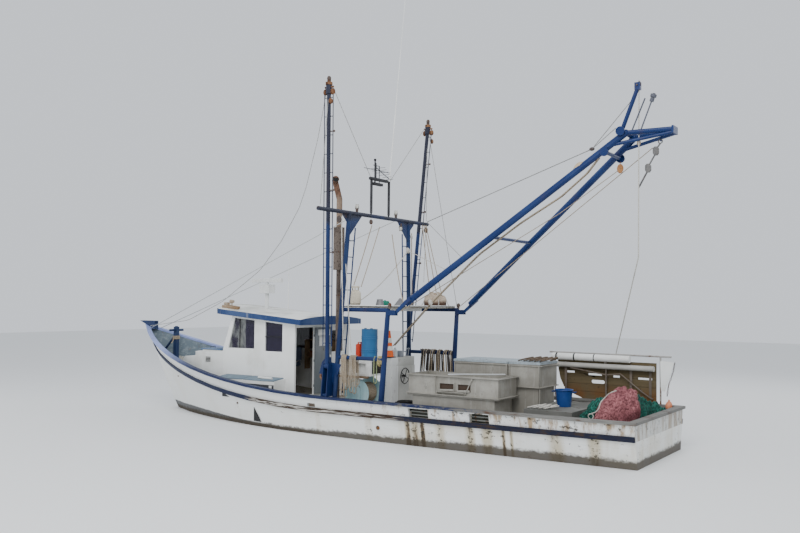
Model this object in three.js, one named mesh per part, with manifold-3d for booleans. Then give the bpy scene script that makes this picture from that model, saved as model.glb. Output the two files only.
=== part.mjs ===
// Fifteen-metre outrigger trawler afloat: white wooden hull, small forward wheelhouse,
// goalpost mast with two hinged outriggers, and a twin-pipe boom over the working deck.
// Millimetres. +X is the bow, +Y is port, +Z is up. The origin lies on the centreline,
// amidships, at the height of the water.

import * as THREE from 'three';
import { mergeVertices } from 'three/addons/utils/BufferGeometryUtils.js';
import Module from 'manifold-3d';

const wasm = await Module();
wasm.setup();

// Driving dimensions.
const GAP = 0.4;
const HALF_LENGTH = 7930;
const STEM_AT_WATER = 6450;
const WIDEST_AT = -1000;
const RAIL_HALF_BEAM = 1870;
const RAIL_HALF_TRANSOM = 1690;
const WATER_HALF_BEAM = 1660;
const WATER_HALF_TRANSOM = 1490;
const RAIL_FULLNESS = 3.67;
const WATER_FULLNESS = 2.38;
const RAIL_AFT_HEIGHT = 940;
const RAIL_BOW_HEIGHT = 2457;
const DECK_AFT_HEIGHT = 600;
const DECK_BOW_RISE = 950;
const CANOE_DEPTH = 850;
const KEEL_BOTTOM = -1550;
const PLANK = 60;
const DECK_PLANK = 45;
const PIN_SIDES = 24;
const CAP_THICKNESS = 60;

// Finishes: colour, roughness, metalness.
const FINISHES = {
  hull_paint: [0xe6e6e0, 0.5, 0.0],
  blue_trim: [0x2d5a8c, 0.5, 0.0],
  rub_dark: [0x1d2434, 0.6, 0.0],
  keel_paint: [0x5a3a30, 0.8, 0.0],
  deck_paint: [0x8b8a82, 0.8, 0.0],
  house_paint: [0xe9e8e2, 0.45, 0.0],
  glass: [0x1d1a2c, 0.1, 0.0],
  grey_paint: [0x8d9498, 0.5, 0.0],
  blue_steel: [0x24418c, 0.4, 0.3],
  light_blue: [0x6d9dbe, 0.5, 0.2],
  galvanised: [0xa9adab, 0.45, 0.8],
  rusty: [0x6b4a35, 0.85, 0.3],
  bronze: [0x8a6a35, 0.4, 0.9],
  white_plastic: [0xe8e8e6, 0.35, 0.0],
  blue_plastic: [0x2a55a8, 0.4, 0.0],
  aluminium: [0xb6b9ba, 0.4, 0.9],
  board_wood: [0x8a6236, 0.8, 0.0],
  net: [0x9a4d56, 0.9, 0.0],
  black_rubber: [0x1b1b1c, 0.6, 0.0],
};

const boat = new THREE.Group();
const pieces = {};

// A closed three.js geometry as a solid that can be joined and cut.
function solid(geometry) {
  const plain = geometry.clone();
  plain.deleteAttribute('normal');
  plain.deleteAttribute('uv');
  const merged = mergeVertices(plain, 0.001);
  return new wasm.Manifold(new wasm.Mesh({
    numProp: 3,
    vertProperties: new Float32Array(merged.attributes.position.array),
    triVerts: new Uint32Array(merged.index.array),
  }));
}

function fuse(list) {
  return list.reduce((whole, next) => whole.add(next));
}

function cut(whole, list) {
  return list.reduce((left, tool) => left.subtract(tool), whole);
}

function add(name, shape, finish) {
  const mesh = shape.getMesh();
  const geometry = new THREE.BufferGeometry();
  geometry.setAttribute('position', new THREE.BufferAttribute(new Float32Array(mesh.vertProperties), 3));
  geometry.setIndex(new THREE.BufferAttribute(new Uint32Array(mesh.triVerts), 1));
  geometry.computeVertexNormals();
  const [color, roughness, metalness] = FINISHES[finish];
  const piece = new THREE.Mesh(geometry, new THREE.MeshStandardMaterial({ color, roughness, metalness }));
  piece.name = name;
  boat.add(piece);
  pieces[name] = shape;
}

function box(x, y, z) {
  const geometry = new THREE.BoxGeometry(x[1] - x[0], y[1] - y[0], z[1] - z[0]);
  geometry.translate((x[0] + x[1]) / 2, (y[0] + y[1]) / 2, (z[0] + z[1]) / 2);
  return solid(geometry);
}

// A round bar between two points; radius may taper to a second value.
function bar(from, to, radius, sides = 10, endRadius = radius) {
  const start = new THREE.Vector3(...from);
  const run = new THREE.Vector3(...to).sub(start);
  const geometry = new THREE.CylinderGeometry(endRadius, radius, run.length(), sides);
  geometry.translate(0, run.length() / 2, 0);
  const turn = new THREE.Quaternion().setFromUnitVectors(new THREE.Vector3(0, 1, 0), run.clone().normalize());
  geometry.applyQuaternion(turn);
  geometry.translate(...from);
  return solid(geometry);
}

// Bars through a list of points, with a ball at each bend.
function bentBar(points, radius, sides = 10) {
  const runs = points.slice(1).map((point, index) => bar(points[index], point, radius, sides));
  const knees = points.slice(1, -1).map((point) => {
    const ball = new THREE.SphereGeometry(radius, sides, 6);
    ball.translate(...point);
    return solid(ball);
  });
  return fuse([...runs, ...knees]);
}

// The bore that a round pin of the same number of sides turns in.
function boreFor(pin) {
  return pin / Math.cos(Math.PI / PIN_SIDES) + 0.2;
}

function outline(points) {
  return new THREE.Shape(points.map(([u, v]) => new THREE.Vector2(u, v)));
}

function extruded(points, depth) {
  return new THREE.ExtrudeGeometry(outline(points), { depth, bevelEnabled: false });
}

// Plates: a side view extruded across the boat, a plan extruded upwards,
// and a cross-section extruded forwards.
function sidePlate(points, y) {
  const geometry = extruded(points, y[1] - y[0]);
  geometry.rotateX(Math.PI / 2);
  geometry.translate(0, y[1], 0);
  return solid(geometry);
}

function planPlate(points, z) {
  const geometry = extruded(points, z[1] - z[0]);
  geometry.translate(0, 0, z[0]);
  return solid(geometry);
}

function crossPlate(points, x) {
  const geometry = extruded(points, x[1] - x[0]);
  const basis = new THREE.Matrix4().makeBasis(
    new THREE.Vector3(0, 1, 0),
    new THREE.Vector3(0, 0, 1),
    new THREE.Vector3(1, 0, 0),
  );
  geometry.applyMatrix4(basis);
  geometry.translate(x[0], 0, 0);
  return solid(geometry);
}

// Hull lines: each is a function of the distance X along the boat.
function forwardShare(x) {
  return Math.max(0, (x - WIDEST_AT) / (HALF_LENGTH - WIDEST_AT));
}

function aftShare(x) {
  return Math.max(0, (WIDEST_AT - x) / (HALF_LENGTH + WIDEST_AT));
}

function railHeight(x) {
  return RAIL_AFT_HEIGHT + (RAIL_BOW_HEIGHT - RAIL_AFT_HEIGHT) * forwardShare(x) ** 2.2;
}

function deckHeight(x) {
  return DECK_AFT_HEIGHT + DECK_BOW_RISE * (Math.max(0, x - WIDEST_AT) / 8000) ** 2.2;
}

function railHalf(x) {
  if (x > WIDEST_AT) return RAIL_HALF_BEAM * (1 - forwardShare(x) ** RAIL_FULLNESS);
  return RAIL_HALF_BEAM - (RAIL_HALF_BEAM - RAIL_HALF_TRANSOM) * aftShare(x) ** 2;
}

function waterHalf(x) {
  const share = Math.max(0, (x - WIDEST_AT) / (STEM_AT_WATER - WIDEST_AT));
  if (x > WIDEST_AT) return WATER_HALF_BEAM * Math.max(0, 1 - share ** WATER_FULLNESS);
  return WATER_HALF_BEAM - (WATER_HALF_BEAM - WATER_HALF_TRANSOM) * aftShare(x) ** 2;
}

// Height of the hull's lowest edge: canoe bottom, forefoot, then the raked stem.
function bottomHeight(x) {
  if (x >= STEM_AT_WATER) {
    return RAIL_BOW_HEIGHT * ((x - STEM_AT_WATER) / (HALF_LENGTH - STEM_AT_WATER)) ** 1.1;
  }
  if (x > 2000) return -CANOE_DEPTH * Math.sqrt(1 - ((x - 2000) / (STEM_AT_WATER - 2000)) ** 3);
  return -CANOE_DEPTH + 500 * aftShare(x) ** 2;
}

// Half breadth of the planking's outside at a place and height.
function hullHalf(x, z) {
  const low = bottomHeight(x);
  const flare = 1 + 0.35 * forwardShare(x);
  if (x >= STEM_AT_WATER) {
    const share = Math.max(0, (z - low) / Math.max(1, railHeight(x) - low));
    return railHalf(x) * share ** flare;
  }
  if (z >= 0) return waterHalf(x) + (railHalf(x) - waterHalf(x)) * (z / railHeight(x)) ** flare;
  const depth = Math.min(1, z / low);
  return waterHalf(x) * (1 - depth ** 2.2) ** (1 / 2.2);
}

const STATIONS = [
  -7930, -7000, -6000, -5000, -4000, -3000, -2000, -1000, 0, 1000, 2000, 2800, 3500, 4200,
  4800, 5300, 5700, 6100, 6450, 6750, 7000, 7250, 7450, 7650, 7800, 7900,
];
const LEVELS = [0, 0.08, 0.2, 0.36, 0.52, 0.66, 0.8, 0.9, 1];

// A closed skin over cross-sections: each section is a list of [half breadth, height]
// from the lowest point up, and is mirrored to starboard.
function loft(sections) {
  const positions = [];
  const faces = [];
  const count = sections[0].ring.length * 2;
  for (const { x, ring } of sections) {
    for (const [half, z] of ring) positions.push(x, half, z);
    for (const [half, z] of [...ring].reverse()) positions.push(x, -half, z);
  }
  for (let s = 0; s < sections.length - 1; s += 1) {
    for (let p = 0; p < count; p += 1) {
      const a = s * count + p;
      const b = s * count + ((p + 1) % count);
      faces.push(a, b, b + count, a, b + count, a + count);
    }
  }
  const last = (sections.length - 1) * count;
  const rows = sections[0].ring.length;
  for (let p = 0; p < rows - 1; p += 1) {
    const q = count - 1 - p;
    faces.push(p, q, q - 1, p, q - 1, p + 1);
    faces.push(last + p, last + q - 1, last + q, last + p, last + p + 1, last + q - 1);
  }
  const geometry = new THREE.BufferGeometry();
  geometry.setAttribute('position', new THREE.Float32BufferAttribute(positions, 3));
  geometry.setIndex(faces);
  return solid(geometry);
}

// The planking's outside shrunk by an inset, from the keel line to above the rail.
function hullForm(inset) {
  const sections = [];
  const aftEnd = -HALF_LENGTH + inset;
  const stations = [aftEnd, ...STATIONS.filter((x) => x > aftEnd + 50)];
  for (const x of stations) {
    const top = railHeight(x) + 200;
    let low = bottomHeight(x);
    const narrowest = inset + 4;
    if (hullHalf(x, top) < narrowest + 20) break;
    while (hullHalf(x, low) < narrowest && low < top - 40) low += 8;
    if (inset === 0) low = bottomHeight(x);
    const ring = LEVELS.map((level) => {
      const z = low + (top - low) * level;
      return [Math.max(4, hullHalf(x, z) - inset), z];
    });
    sections.push({ x, ring });
  }
  return loft(sections);
}

// A slab between two heights that follow the boat's length.
function band(lowAt, highAt) {
  const stations = [-8400, ...STATIONS.slice(1), 8400];
  const low = stations.map((x) => [x, lowAt(x)]);
  const high = stations.map((x) => [x, highAt(x)]).reverse();
  return sidePlate([...low, ...high], [-3000, 3000]);
}

function planRing(offset, aftEnd) {
  const stations = [aftEnd, ...STATIONS.slice(1)];
  const port = stations.map((x) => [x, railHalf(x) + offset]).filter(([, y]) => y > 12);
  const starboard = port.map(([x, y]) => [x, -y]).reverse();
  const noseAt = offset > 0 ? [[HALF_LENGTH + offset, 30], [HALF_LENGTH + offset, -30]] : [];
  return [...port, ...noseAt, ...starboard];
}

const hullOutside = hullForm(0);
const belowDeck = band(() => -3000, (x) => deckHeight(x) + GAP);
const belowRail = band(() => -3000, (x) => railHeight(x) + GAP);
const deckUnderside = (x) => deckHeight(x) - DECK_PLANK;

// Engine well: open at the top, covered by the deck.
const WELL = { x: [200, 1900], y: [-500, 500], floor: -450 };
const well = box(WELL.x, WELL.y, [WELL.floor, 3000]);

// Propeller line and rudder stock.
const PROP = { x: -6250, z: -1020, radius: 400, shaft: 32 };
const RUDDER = { x: -6850, stock: 40, pintle: 25, top: -560, bottom: -1460 };
const shaftBore = bar([-4990, 0, PROP.z], [-6100, 0, PROP.z], boreFor(PROP.shaft), PIN_SIDES);
const stockBore = bar([RUDDER.x, 0, -1000], [RUDDER.x, 0, -90], boreFor(RUDDER.stock), PIN_SIDES);

const hull = hullOutside.intersect(band(() => -3000, (x) => deckUnderside(x) - GAP));
add('hull', cut(hull, [well, stockBore]), 'hull_paint');

const keelSide = [
  [5200, -300], [5000, -900], [4300, KEEL_BOTTOM + 250], [3400, KEEL_BOTTOM], [-7150, KEEL_BOTTOM],
  [-7150, KEEL_BOTTOM + 60], [-5980, KEEL_BOTTOM + 60], [-5980, PROP.z - 120], [-6080, PROP.z - 70],
  [-6080, PROP.z + 70], [-5900, PROP.z + 150], [-5700, -300],
];
const hullLowered = hullOutside.translate([0, 0, -GAP]);
const hullForward = hullOutside.translate([GAP, 0, -GAP]);
const pintleBore = bar([RUDDER.x, 0, -1600], [RUDDER.x, 0, -1400], boreFor(RUDDER.pintle), PIN_SIDES);
const keel = sidePlate(keelSide, [-70, 70]);
add('keel', cut(keel, [hullLowered, hullForward, shaftBore, pintleBore]), 'keel_paint');

const engine = box([WELL.x[0] + 100, WELL.x[1] - 100], [-400, 400], [WELL.floor + GAP, 420]);
add('engine_block', engine, 'grey_paint');

add('deck', hullForm(PLANK + GAP).intersect(band(deckUnderside, deckHeight)), 'deck_paint');

// Bulwark with freeing ports on both sides: [aft edge, forward edge, low, high] above the deck.
const FREEING_PORTS = [
  [-4860, -4390, 45, 250],
  [-3380, -2880, 45, 250],
  [-220, 20, 60, 150],
];
const capUnderside = (x) => railHeight(x) - CAP_THICKNESS;
let bulwark = hullOutside
  .intersect(band(deckUnderside, (x) => capUnderside(x) - GAP))
  .subtract(hullForm(PLANK));
for (const [aft, forward, low, high] of FREEING_PORTS) {
  const level = deckHeight((aft + forward) / 2);
  bulwark = bulwark.subtract(box([aft, forward], [-3000, 3000], [level + low, level + high]));
}
add('bulwark', bulwark, 'hull_paint');

const capRail = planPlate(planRing(45, -HALF_LENGTH - 45), [0, 3000])
  .subtract(planPlate(planRing(-110, -HALF_LENGTH + 130), [-10, 3010]))
  .intersect(band(capUnderside, railHeight));
add('cap_rail', capRail, 'blue_trim');

// Rub rails: a strip along each side, below the rail.
const rubHeight = (x) => railHeight(x) - 336 - 80 * forwardShare(x);
function rubRail(side) {
  const sections = [];
  for (const x of STATIONS.filter((station) => station < 7500)) {
    const low = rubHeight(x) - 55;
    const high = rubHeight(x) + 55;
    sections.push({ x, low, high, inner: [hullHalf(x, low), hullHalf(x, high)] });
  }
  const positions = [];
  const faces = [];
  for (const { x, low, high, inner } of sections) {
    positions.push(x, side * (inner[0] - 30), low, x, side * (inner[0] + 50), low);
    positions.push(x, side * (inner[1] + 50), high, x, side * (inner[1] - 30), high);
  }
  for (let s = 0; s < sections.length - 1; s += 1) {
    for (let p = 0; p < 4; p += 1) {
      const a = s * 4 + p;
      const b = s * 4 + ((p + 1) % 4);
      faces.push(a, b, b + 4, a, b + 4, a + 4);
    }
  }
  const last = (sections.length - 1) * 4;
  faces.push(0, 3, 2, 0, 2, 1, last, last + 1, last + 2, last, last + 2, last + 3);
  if (side < 0) faces.reverse();
  const geometry = new THREE.BufferGeometry();
  geometry.setAttribute('position', new THREE.Float32BufferAttribute(positions, 3));
  geometry.setIndex(faces);
  return solid(geometry).subtract(hullOutside.scale([1, (RAIL_HALF_BEAM + 1) / RAIL_HALF_BEAM, 1]));
}
add('rub_rail_port', rubRail(1), 'rub_dark');
add('rub_rail_starboard', rubRail(-1), 'rub_dark');

// Propeller: four twisted blades on a hub, turning with its shaft.
const shaft = bar([-5000, 0, PROP.z], [-6400, 0, PROP.z], PROP.shaft, PIN_SIDES);
const hub = bar([PROP.x + 90, 0, PROP.z], [PROP.x - 110, 0, PROP.z], 75, 16, 50);
const bladeShape = [[-50, 0], [-120, 150], [-130, 260], [-60, 340], [20, 345], [110, 260], [110, 130], [50, 0]];
const blades = [0, 1, 2, 3].map((index) => {
  const blade = extruded(bladeShape, 18);
  blade.translate(0, 50, -9);
  blade.rotateY(THREE.MathUtils.degToRad(60));
  blade.rotateX(Math.PI / 2 + (index * Math.PI) / 2);
  blade.translate(PROP.x, 0, PROP.z);
  return solid(blade);
});
add('propeller', fuse([shaft, hub, ...blades]), 'bronze');

const rudderPlate = box([-7400, -6700], [-25, 25], [RUDDER.bottom, RUDDER.top]);
const stock = bar([RUDDER.x, 0, RUDDER.top - 30], [RUDDER.x, 0, -100], RUDDER.stock, PIN_SIDES);
const pintle = bar([RUDDER.x, 0, RUDDER.bottom + 40], [RUDDER.x, 0, -1535], RUDDER.pintle, PIN_SIDES);
add('rudder', fuse([rudderPlate, stock, pintle]), 'keel_paint');

// Bow fittings.
const bowRoller = fuse([
  box([7500, 8180], [-75, -55], [2300, 2550]),
  box([7500, 8180], [55, 75], [2300, 2550]),
  box([7500, 8060], [-75, 75], [2300, 2480]),
  bar([8110, -70, 2505], [8110, 70, 2505], 42, 12),
]);
add('bow_roller', bowRoller.subtract(belowRail), 'blue_trim');

const samsonPost = fuse([
  box([6550, 6670], [-60, 60], [1000, 2390]),
  bar([6610, -260, 2290], [6610, 260, 2290], 34, 10),
  bar([6650, 0, 2130], [7340, 0, 1450], 35, 10),
]);
add('samson_post', samsonPost.subtract(belowDeck), 'blue_trim');

for (const [name, side] of [['port', 1], ['starboard', -1]]) {
  const post = box([-7620, -7500], [side * 1350 - 60, side * 1350 + 60], [DECK_AFT_HEIGHT + GAP, 900]);
  const pin = bar([-7560, side * 1350 - 170, 810], [-7560, side * 1350 + 170, 810], 22, 10);
  add(`stern_bitt_${name}`, post.add(pin), 'blue_trim');
}

// Trunk cabin: a low hollow house on the foredeck. Its after part is higher and carries
// the hatch; the fore part steps down and slopes to the bow.
const TRUNK = { wall: 40, mouth: { x: [4400, 5040], y: [-350, 350] }, coamingTop: 1790, hinge: 4340 };
const trunkPart = (side, plan) => (inset) => sidePlate(side(inset), [-1300, 1300])
  .intersect(planPlate(plan(inset), [inset ? -100 : 0, 3000]));
const trunkParts = [
  trunkPart(
    (inset) => [[3515 + inset, 400 - inset], [5250 - inset, 400 - inset], [5250 - inset, 1745 - inset],
      [4700, 1755 - inset], [3515 + inset, 1830 - inset]],
    (inset) => [[3400, -1120 + inset], [4720 - inset, -960 + inset], [5060 - inset, -680 + inset], [5250 - inset, -330],
      [5250 - inset, 330], [5060 - inset, 680 - inset], [4720 - inset, 960 - inset], [3400, 1120 - inset]],
  ),
  trunkPart(
    (inset) => [[3515 + inset, 400 - inset], [5720 - inset, 400 - inset], [5720 - inset, 1475 - inset],
      [5440 - inset, 1600 - inset], [4900, 1640 - inset], [3515 + inset, 1650 - inset]],
    (inset) => [[3400, -1120 + inset], [4930 - inset, -920 + inset], [5450 - inset, -720 + inset],
      [5720 - inset, -540 + inset], [5720 - inset, 540 - inset], [5450 - inset, 720 - inset],
      [4930 - inset, 920 - inset], [3400, 1120 - inset]],
  ),
];
const trunkMouth = box(TRUNK.mouth.x, TRUNK.mouth.y, [1500, 2200]);
const trunkCoaming = box([4360, 5080], [-390, 390], [1735, TRUNK.coamingTop]);
const trunkShell = fuse([...trunkParts.map((part) => part(0)), trunkCoaming]);
add('trunk_cabin', cut(trunkShell, [...trunkParts.map((part) => part(TRUNK.wall)), trunkMouth, belowDeck]), 'house_paint');
const lid = fuse([
  box([TRUNK.hinge, 5110], [-410, 410], [TRUNK.coamingTop + GAP, 1824]),
  box([5095, 5110], [-410, 410], [1762, 1800]),
]);
add('trunk_hatch_lid', lid, 'blue_trim');

// Locker along the port side deck.
const locker = crossPlate([[1151, 500], [1560, 500], [1560, 1160], [1151, 1215]], [1300, 3330]);
add('side_locker', locker.subtract(belowDeck).intersect(hullForm(PLANK + 10)), 'house_paint');

// Wheelhouse: hollow, with the real wall thickness, its windows and the doorway cut.
const HOUSE = { aft: 1000, front: 3510, half: 1150, wall: 40, eaveAft: 2615, eaveSlope: 0.085 };
const eave = (x) => HOUSE.eaveAft + HOUSE.eaveSlope * (x - HOUSE.aft);
function houseSide(inset) {
  const front = HOUSE.front - inset;
  return [[HOUSE.aft + inset, 200], [front, 200], [front, 1900], [3190 - inset, 2790], [3188 - inset, 3200],
    [HOUSE.aft + inset, 3200]];
}
const aboveEave = sidePlate([[0, eave(0) - GAP], [5000, eave(5000) - GAP], [5000, 4000], [0, 4000]], [-2000, 2000]);
const houseShell = sidePlate(houseSide(0), [-HOUSE.half, HOUSE.half])
  .subtract(sidePlate(houseSide(HOUSE.wall), [-HOUSE.half + HOUSE.wall, HOUSE.half - HOUSE.wall]));

// Side windows: outlines in side view; the forward one follows the raked windshield.
const SIDE_WINDOWS = [
  [[2385, 1940], [3325, 1930], [3100, 2735], [2385, 2680]],
  [[1415, 1890], [2005, 1890], [2005, 2650], [1415, 2600]],
];
// Front windows: [low Y, high Y].
const FRONT_WINDOWS = [[-1060, -400], [-330, 330], [400, 1060]];
const DOORWAY = { y: [380, 1090], sill: 780, head: 2520 };
const openingsInHouse = [
  ...SIDE_WINDOWS.map((points) => sidePlate(points, [-2000, 2000])),
  ...FRONT_WINDOWS.map(([low, high]) => box([3000, 3700], [low, high], [2010, 2620])),
  box([900, 1200], DOORWAY.y, [DOORWAY.sill, DOORWAY.head]),
  box([900, 1200], [-900, -300], [1850, 2420]),
];
const HINGE = { x: 992, y: 385, pin: 9, heights: [1000, 1650, 2300] };
const wallKnuckles = HINGE.heights.flatMap((z) => [
  bar([HINGE.x, HINGE.y, z - 70], [HINGE.x, HINGE.y, z - 30.5], HINGE.pin, 10),
  box([HINGE.x, 1006], [366, HINGE.y], [z - 70, z - 30.5]),
]);
let house = cut(houseShell, [...openingsInHouse, aboveEave]);
house = fuse([house, ...wallKnuckles]).subtract(belowDeck);
add('wheelhouse', house, 'house_paint');

const doorKnuckles = HINGE.heights.flatMap((z) => [
  bar([HINGE.x, HINGE.y, z - 30], [HINGE.x, HINGE.y, z + 30], HINGE.pin, 10),
  box([978, HINGE.x - 2], [366, HINGE.y - 1], [z - 30, z + 30]),
]);
const doorLeaf = box([945, 985], [-310, 375], [DOORWAY.sill + 8, DOORWAY.head - 8]);
const doorPane = box([935, 1000], [-160, 225], [2020, 2380]);
add('wheelhouse_door', fuse([doorLeaf.subtract(doorPane), ...doorKnuckles]), 'grey_paint');

// Glass: one sheet behind the front openings and one behind each side's openings.
const windshieldInside = (z) => HOUSE.front - HOUSE.wall - ((z - 1900) * 320) / 890 - 2 * GAP;
const glassFront = sidePlate([
  [windshieldInside(1945), 1945],
  [windshieldInside(2740), 2740],
  [windshieldInside(2740) - 8, 2740],
  [windshieldInside(1945) - 8, 1945],
], [-1095, 1095]);
add('windshield_glass', glassFront, 'glass');
for (const [name, side] of [['port', 1], ['starboard', -1]]) {
  const sheet = sidePlate([[1380, 1860], [3440, 1860], [3128, 2762], [1380, 2632]], [0, 8]);
  const outer = HOUSE.half - HOUSE.wall - GAP;
  add(`side_glass_${name}`, sheet.translate([0, side > 0 ? outer - 8 : -outer, 0]), 'glass');
}

// Roof: cambered, overhanging, with a bowed front edge whose corners are full.
const BROW = { x: 3310, reach: 640, half: 1300, fullness: 0.62 };
const roofFront = [];
for (let step = 0; step <= 14; step += 1) {
  const angle = (step / 14 - 0.5) * Math.PI;
  const across = Math.sign(Math.sin(angle)) * Math.abs(Math.sin(angle)) ** BROW.fullness;
  roofFront.push([BROW.x + BROW.reach * Math.max(Math.cos(angle), 0) ** BROW.fullness, BROW.half * across]);
}
const roofPlan = [[710, 1300], [710, -1300], ...roofFront];
const camber = new THREE.QuadraticBezierCurve(
  new THREE.Vector2(1400, 125),
  new THREE.Vector2(0, 335),
  new THREE.Vector2(-1400, 125),
).getPoints(8).map((point) => [point.x, point.y]);
const roofSlab = crossPlate([[-1400, 0], [1400, 0], ...camber], [0, 4000]);
const roofRise = roofSlab.rotate([0, -THREE.MathUtils.radToDeg(Math.atan(HOUSE.eaveSlope)), 0]);
add('wheelhouse_roof', roofRise.translate([0, 0, eave(0)]).intersect(planPlate(roofPlan, [2000, 4000])), 'house_paint');
const roofTop = (x) => eave(x) + 232;

// Helm: console under the windshield with its wheel.
add('helm_console', box([2780, 3440], [-1050, 1050], [500, 1740]).subtract(belowDeck), 'house_paint');
const HELM = { x: 2700, z: 1480, radius: 290 };
const helmRim = new THREE.TorusGeometry(HELM.radius, 16, 6, 20);
helmRim.rotateY(Math.PI / 2);
helmRim.translate(HELM.x, 0, HELM.z);
const helmSpokes = [0, 1, 2].map((index) => {
  const angle = (index * Math.PI) / 3;
  const reach = [Math.cos(angle) * HELM.radius, Math.sin(angle) * HELM.radius];
  return bar([HELM.x, -reach[0], HELM.z - reach[1]], [HELM.x, reach[0], HELM.z + reach[1]], 11, 8);
});
const helmHub = bar([2780 - GAP, 0, HELM.z], [2670, 0, HELM.z], 35, 12);
add('helm_wheel', fuse([solid(helmRim), ...helmSpokes, helmHub]), 'board_wood');

// Roof gear: radar with its turning bar, whip antenna and horn.
const RADAR = { x: 2730, y: 300, z: 3740 };
const pedestal = fuse([
  bar([RADAR.x, RADAR.y, roofTop(RADAR.x) - 200], [RADAR.x, RADAR.y, 3420], 55, 12),
  box([RADAR.x - 170, RADAR.x + 170], [RADAR.y - 130, RADAR.y + 130], [3400, 3640]),
]);
add('radar_pedestal', pedestal.subtract(pieces.wheelhouse_roof.translate([0, 0, GAP])), 'white_plastic');
const arrayBar = crossPlate(
  [[RADAR.y - 50, 3700], [RADAR.y + 50, 3700], [RADAR.y + 50, 3780], [RADAR.y + 20, 3810], [RADAR.y - 20, 3810], [RADAR.y - 50, 3780]],
  [RADAR.x - 525, RADAR.x + 525],
);
const arrayNeck = bar([RADAR.x, RADAR.y, 3640 + GAP], [RADAR.x, RADAR.y, 3710], 45, 12);
add('radar_array', fuse([arrayBar, arrayNeck]), 'white_plastic');
const whip = bar([1970, 300, 2700], [1960, 300, 4450], 14, 8, 7);
add('roof_whip', whip.subtract(pieces.wheelhouse_roof.translate([0, 0, GAP])), 'white_plastic');

// Goalpost mast: two legs that lean aft and inwards, crossbar, gussets and a ladder inside each leg.
const MAST = { x: -800, footX: -665, foot: 1664, head: 1310, top: 5350, leg: 58 };
const legShare = (z) => (z - DECK_AFT_HEIGHT) / (MAST.top - DECK_AFT_HEIGHT);
const legAt = (z) => MAST.foot + (MAST.head - MAST.foot) * legShare(z);
const legX = (z) => MAST.footX + (MAST.x - MAST.footX) * legShare(z);
const legLine = (side, radius, sides = 12) => bar(
  [MAST.footX, side * MAST.foot, DECK_AFT_HEIGHT],
  [MAST.x, side * MAST.head, MAST.top],
  radius,
  sides,
);
const mastParts = [bar([MAST.x, 2520, MAST.top], [MAST.x, -2300, MAST.top], 50, 12)];
for (const side of [1, -1]) {
  mastParts.push(legLine(side, MAST.leg));
  const inner = side * (MAST.head + 40);
  const gusset = [[inner, 4750], [inner, MAST.top], [side * 760, MAST.top]];
  mastParts.push(crossPlate(side > 0 ? gusset : gusset.reverse(), [MAST.x - 12, MAST.x + 12]));
  mastParts.push(bar(
    [legX(1000), side * (legAt(1000) - 290), 1000],
    [legX(5000), side * (legAt(5000) - 290), 5000],
    17,
    8,
  ));
  for (let z = 1080; z <= 4900; z += 400) {
    mastParts.push(bar([legX(z), side * (legAt(z) - 300), z], [legX(z), side * legAt(z), z], 11, 6));
  }
}
add('mast_frame', fuse(mastParts).subtract(belowDeck), 'blue_steel');
const crossbarTop = MAST.top + 50 + GAP;
const rackParts = [
  bar([MAST.x, 430, 6300], [MAST.x, -420, 6300], 20, 8),
  bar([MAST.x, 400, crossbarTop], [MAST.x, 400, 6300], 22, 8),
  bar([MAST.x, -380, crossbarTop], [MAST.x, -380, 6300], 22, 8),
  bar([MAST.x, 200, 6300], [MAST.x, 200, 6720], 12, 8),
  bar([MAST.x, 60, 6650], [MAST.x, 330, 6650], 10, 8),
];
add('antenna_rack', fuse(rackParts), 'galvanised');
const rackBarGrown = bar([MAST.x, 500, 6300], [MAST.x, -500, 6300], 20 + GAP, 8);
const tallWhip = bar([MAST.x, -400, 6305], [MAST.x, -1080, 11400], 18, 8, 6);
add('mast_whip', tallWhip.subtract(rackBarGrown), 'white_plastic');

// Gallows: a post each side abaft the mast, tied to the mast leg by two bars,
// with the boom's hinge cheeks and pin on top.
const GALLOWS = { x: -2160, y: 1600, top: 3040, foot: [-2000, 1650], upper: 3010, lower: 1875, bar: 50 };
const BOOM_PIN = { x: -2320, z: 2950, radius: 20, cheek: 55, cheekInside: 32 };
const gallowsPost = (side, grow = 0) => bar(
  [GALLOWS.foot[0], side * GALLOWS.foot[1], DECK_AFT_HEIGHT + GAP],
  [GALLOWS.x, side * GALLOWS.y, GALLOWS.top],
  70 + grow,
  12,
  55 + grow,
);
const gallowsBar = (side, grow = 0) => bar(
  [legX(GALLOWS.upper), side * legAt(GALLOWS.upper), GALLOWS.upper],
  [GALLOWS.x, side * GALLOWS.y, GALLOWS.upper],
  GALLOWS.bar + grow,
  10,
);
for (const [name, side] of [['port', 1], ['starboard', -1]]) {
  const y = side * GALLOWS.y;
  const cheek = (near, far) => box([-2390, -2150], [y + near, y + far], [2890, 3010]);
  const parts = [
    gallowsPost(side),
    gallowsBar(side),
    bar([legX(GALLOWS.lower), side * legAt(GALLOWS.lower), GALLOWS.lower], [-2080, side * 1640, GALLOWS.lower], 46, 10),
    cheek(-BOOM_PIN.cheek, -BOOM_PIN.cheekInside),
    cheek(BOOM_PIN.cheekInside, BOOM_PIN.cheek),
    bar([BOOM_PIN.x, y - 50, BOOM_PIN.z], [BOOM_PIN.x, y + 50, BOOM_PIN.z], BOOM_PIN.radius, PIN_SIDES),
  ];
  add(`gallows_${name}`, cut(fuse(parts), [legLine(side, MAST.leg + GAP), belowDeck]), 'blue_steel');
}

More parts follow.
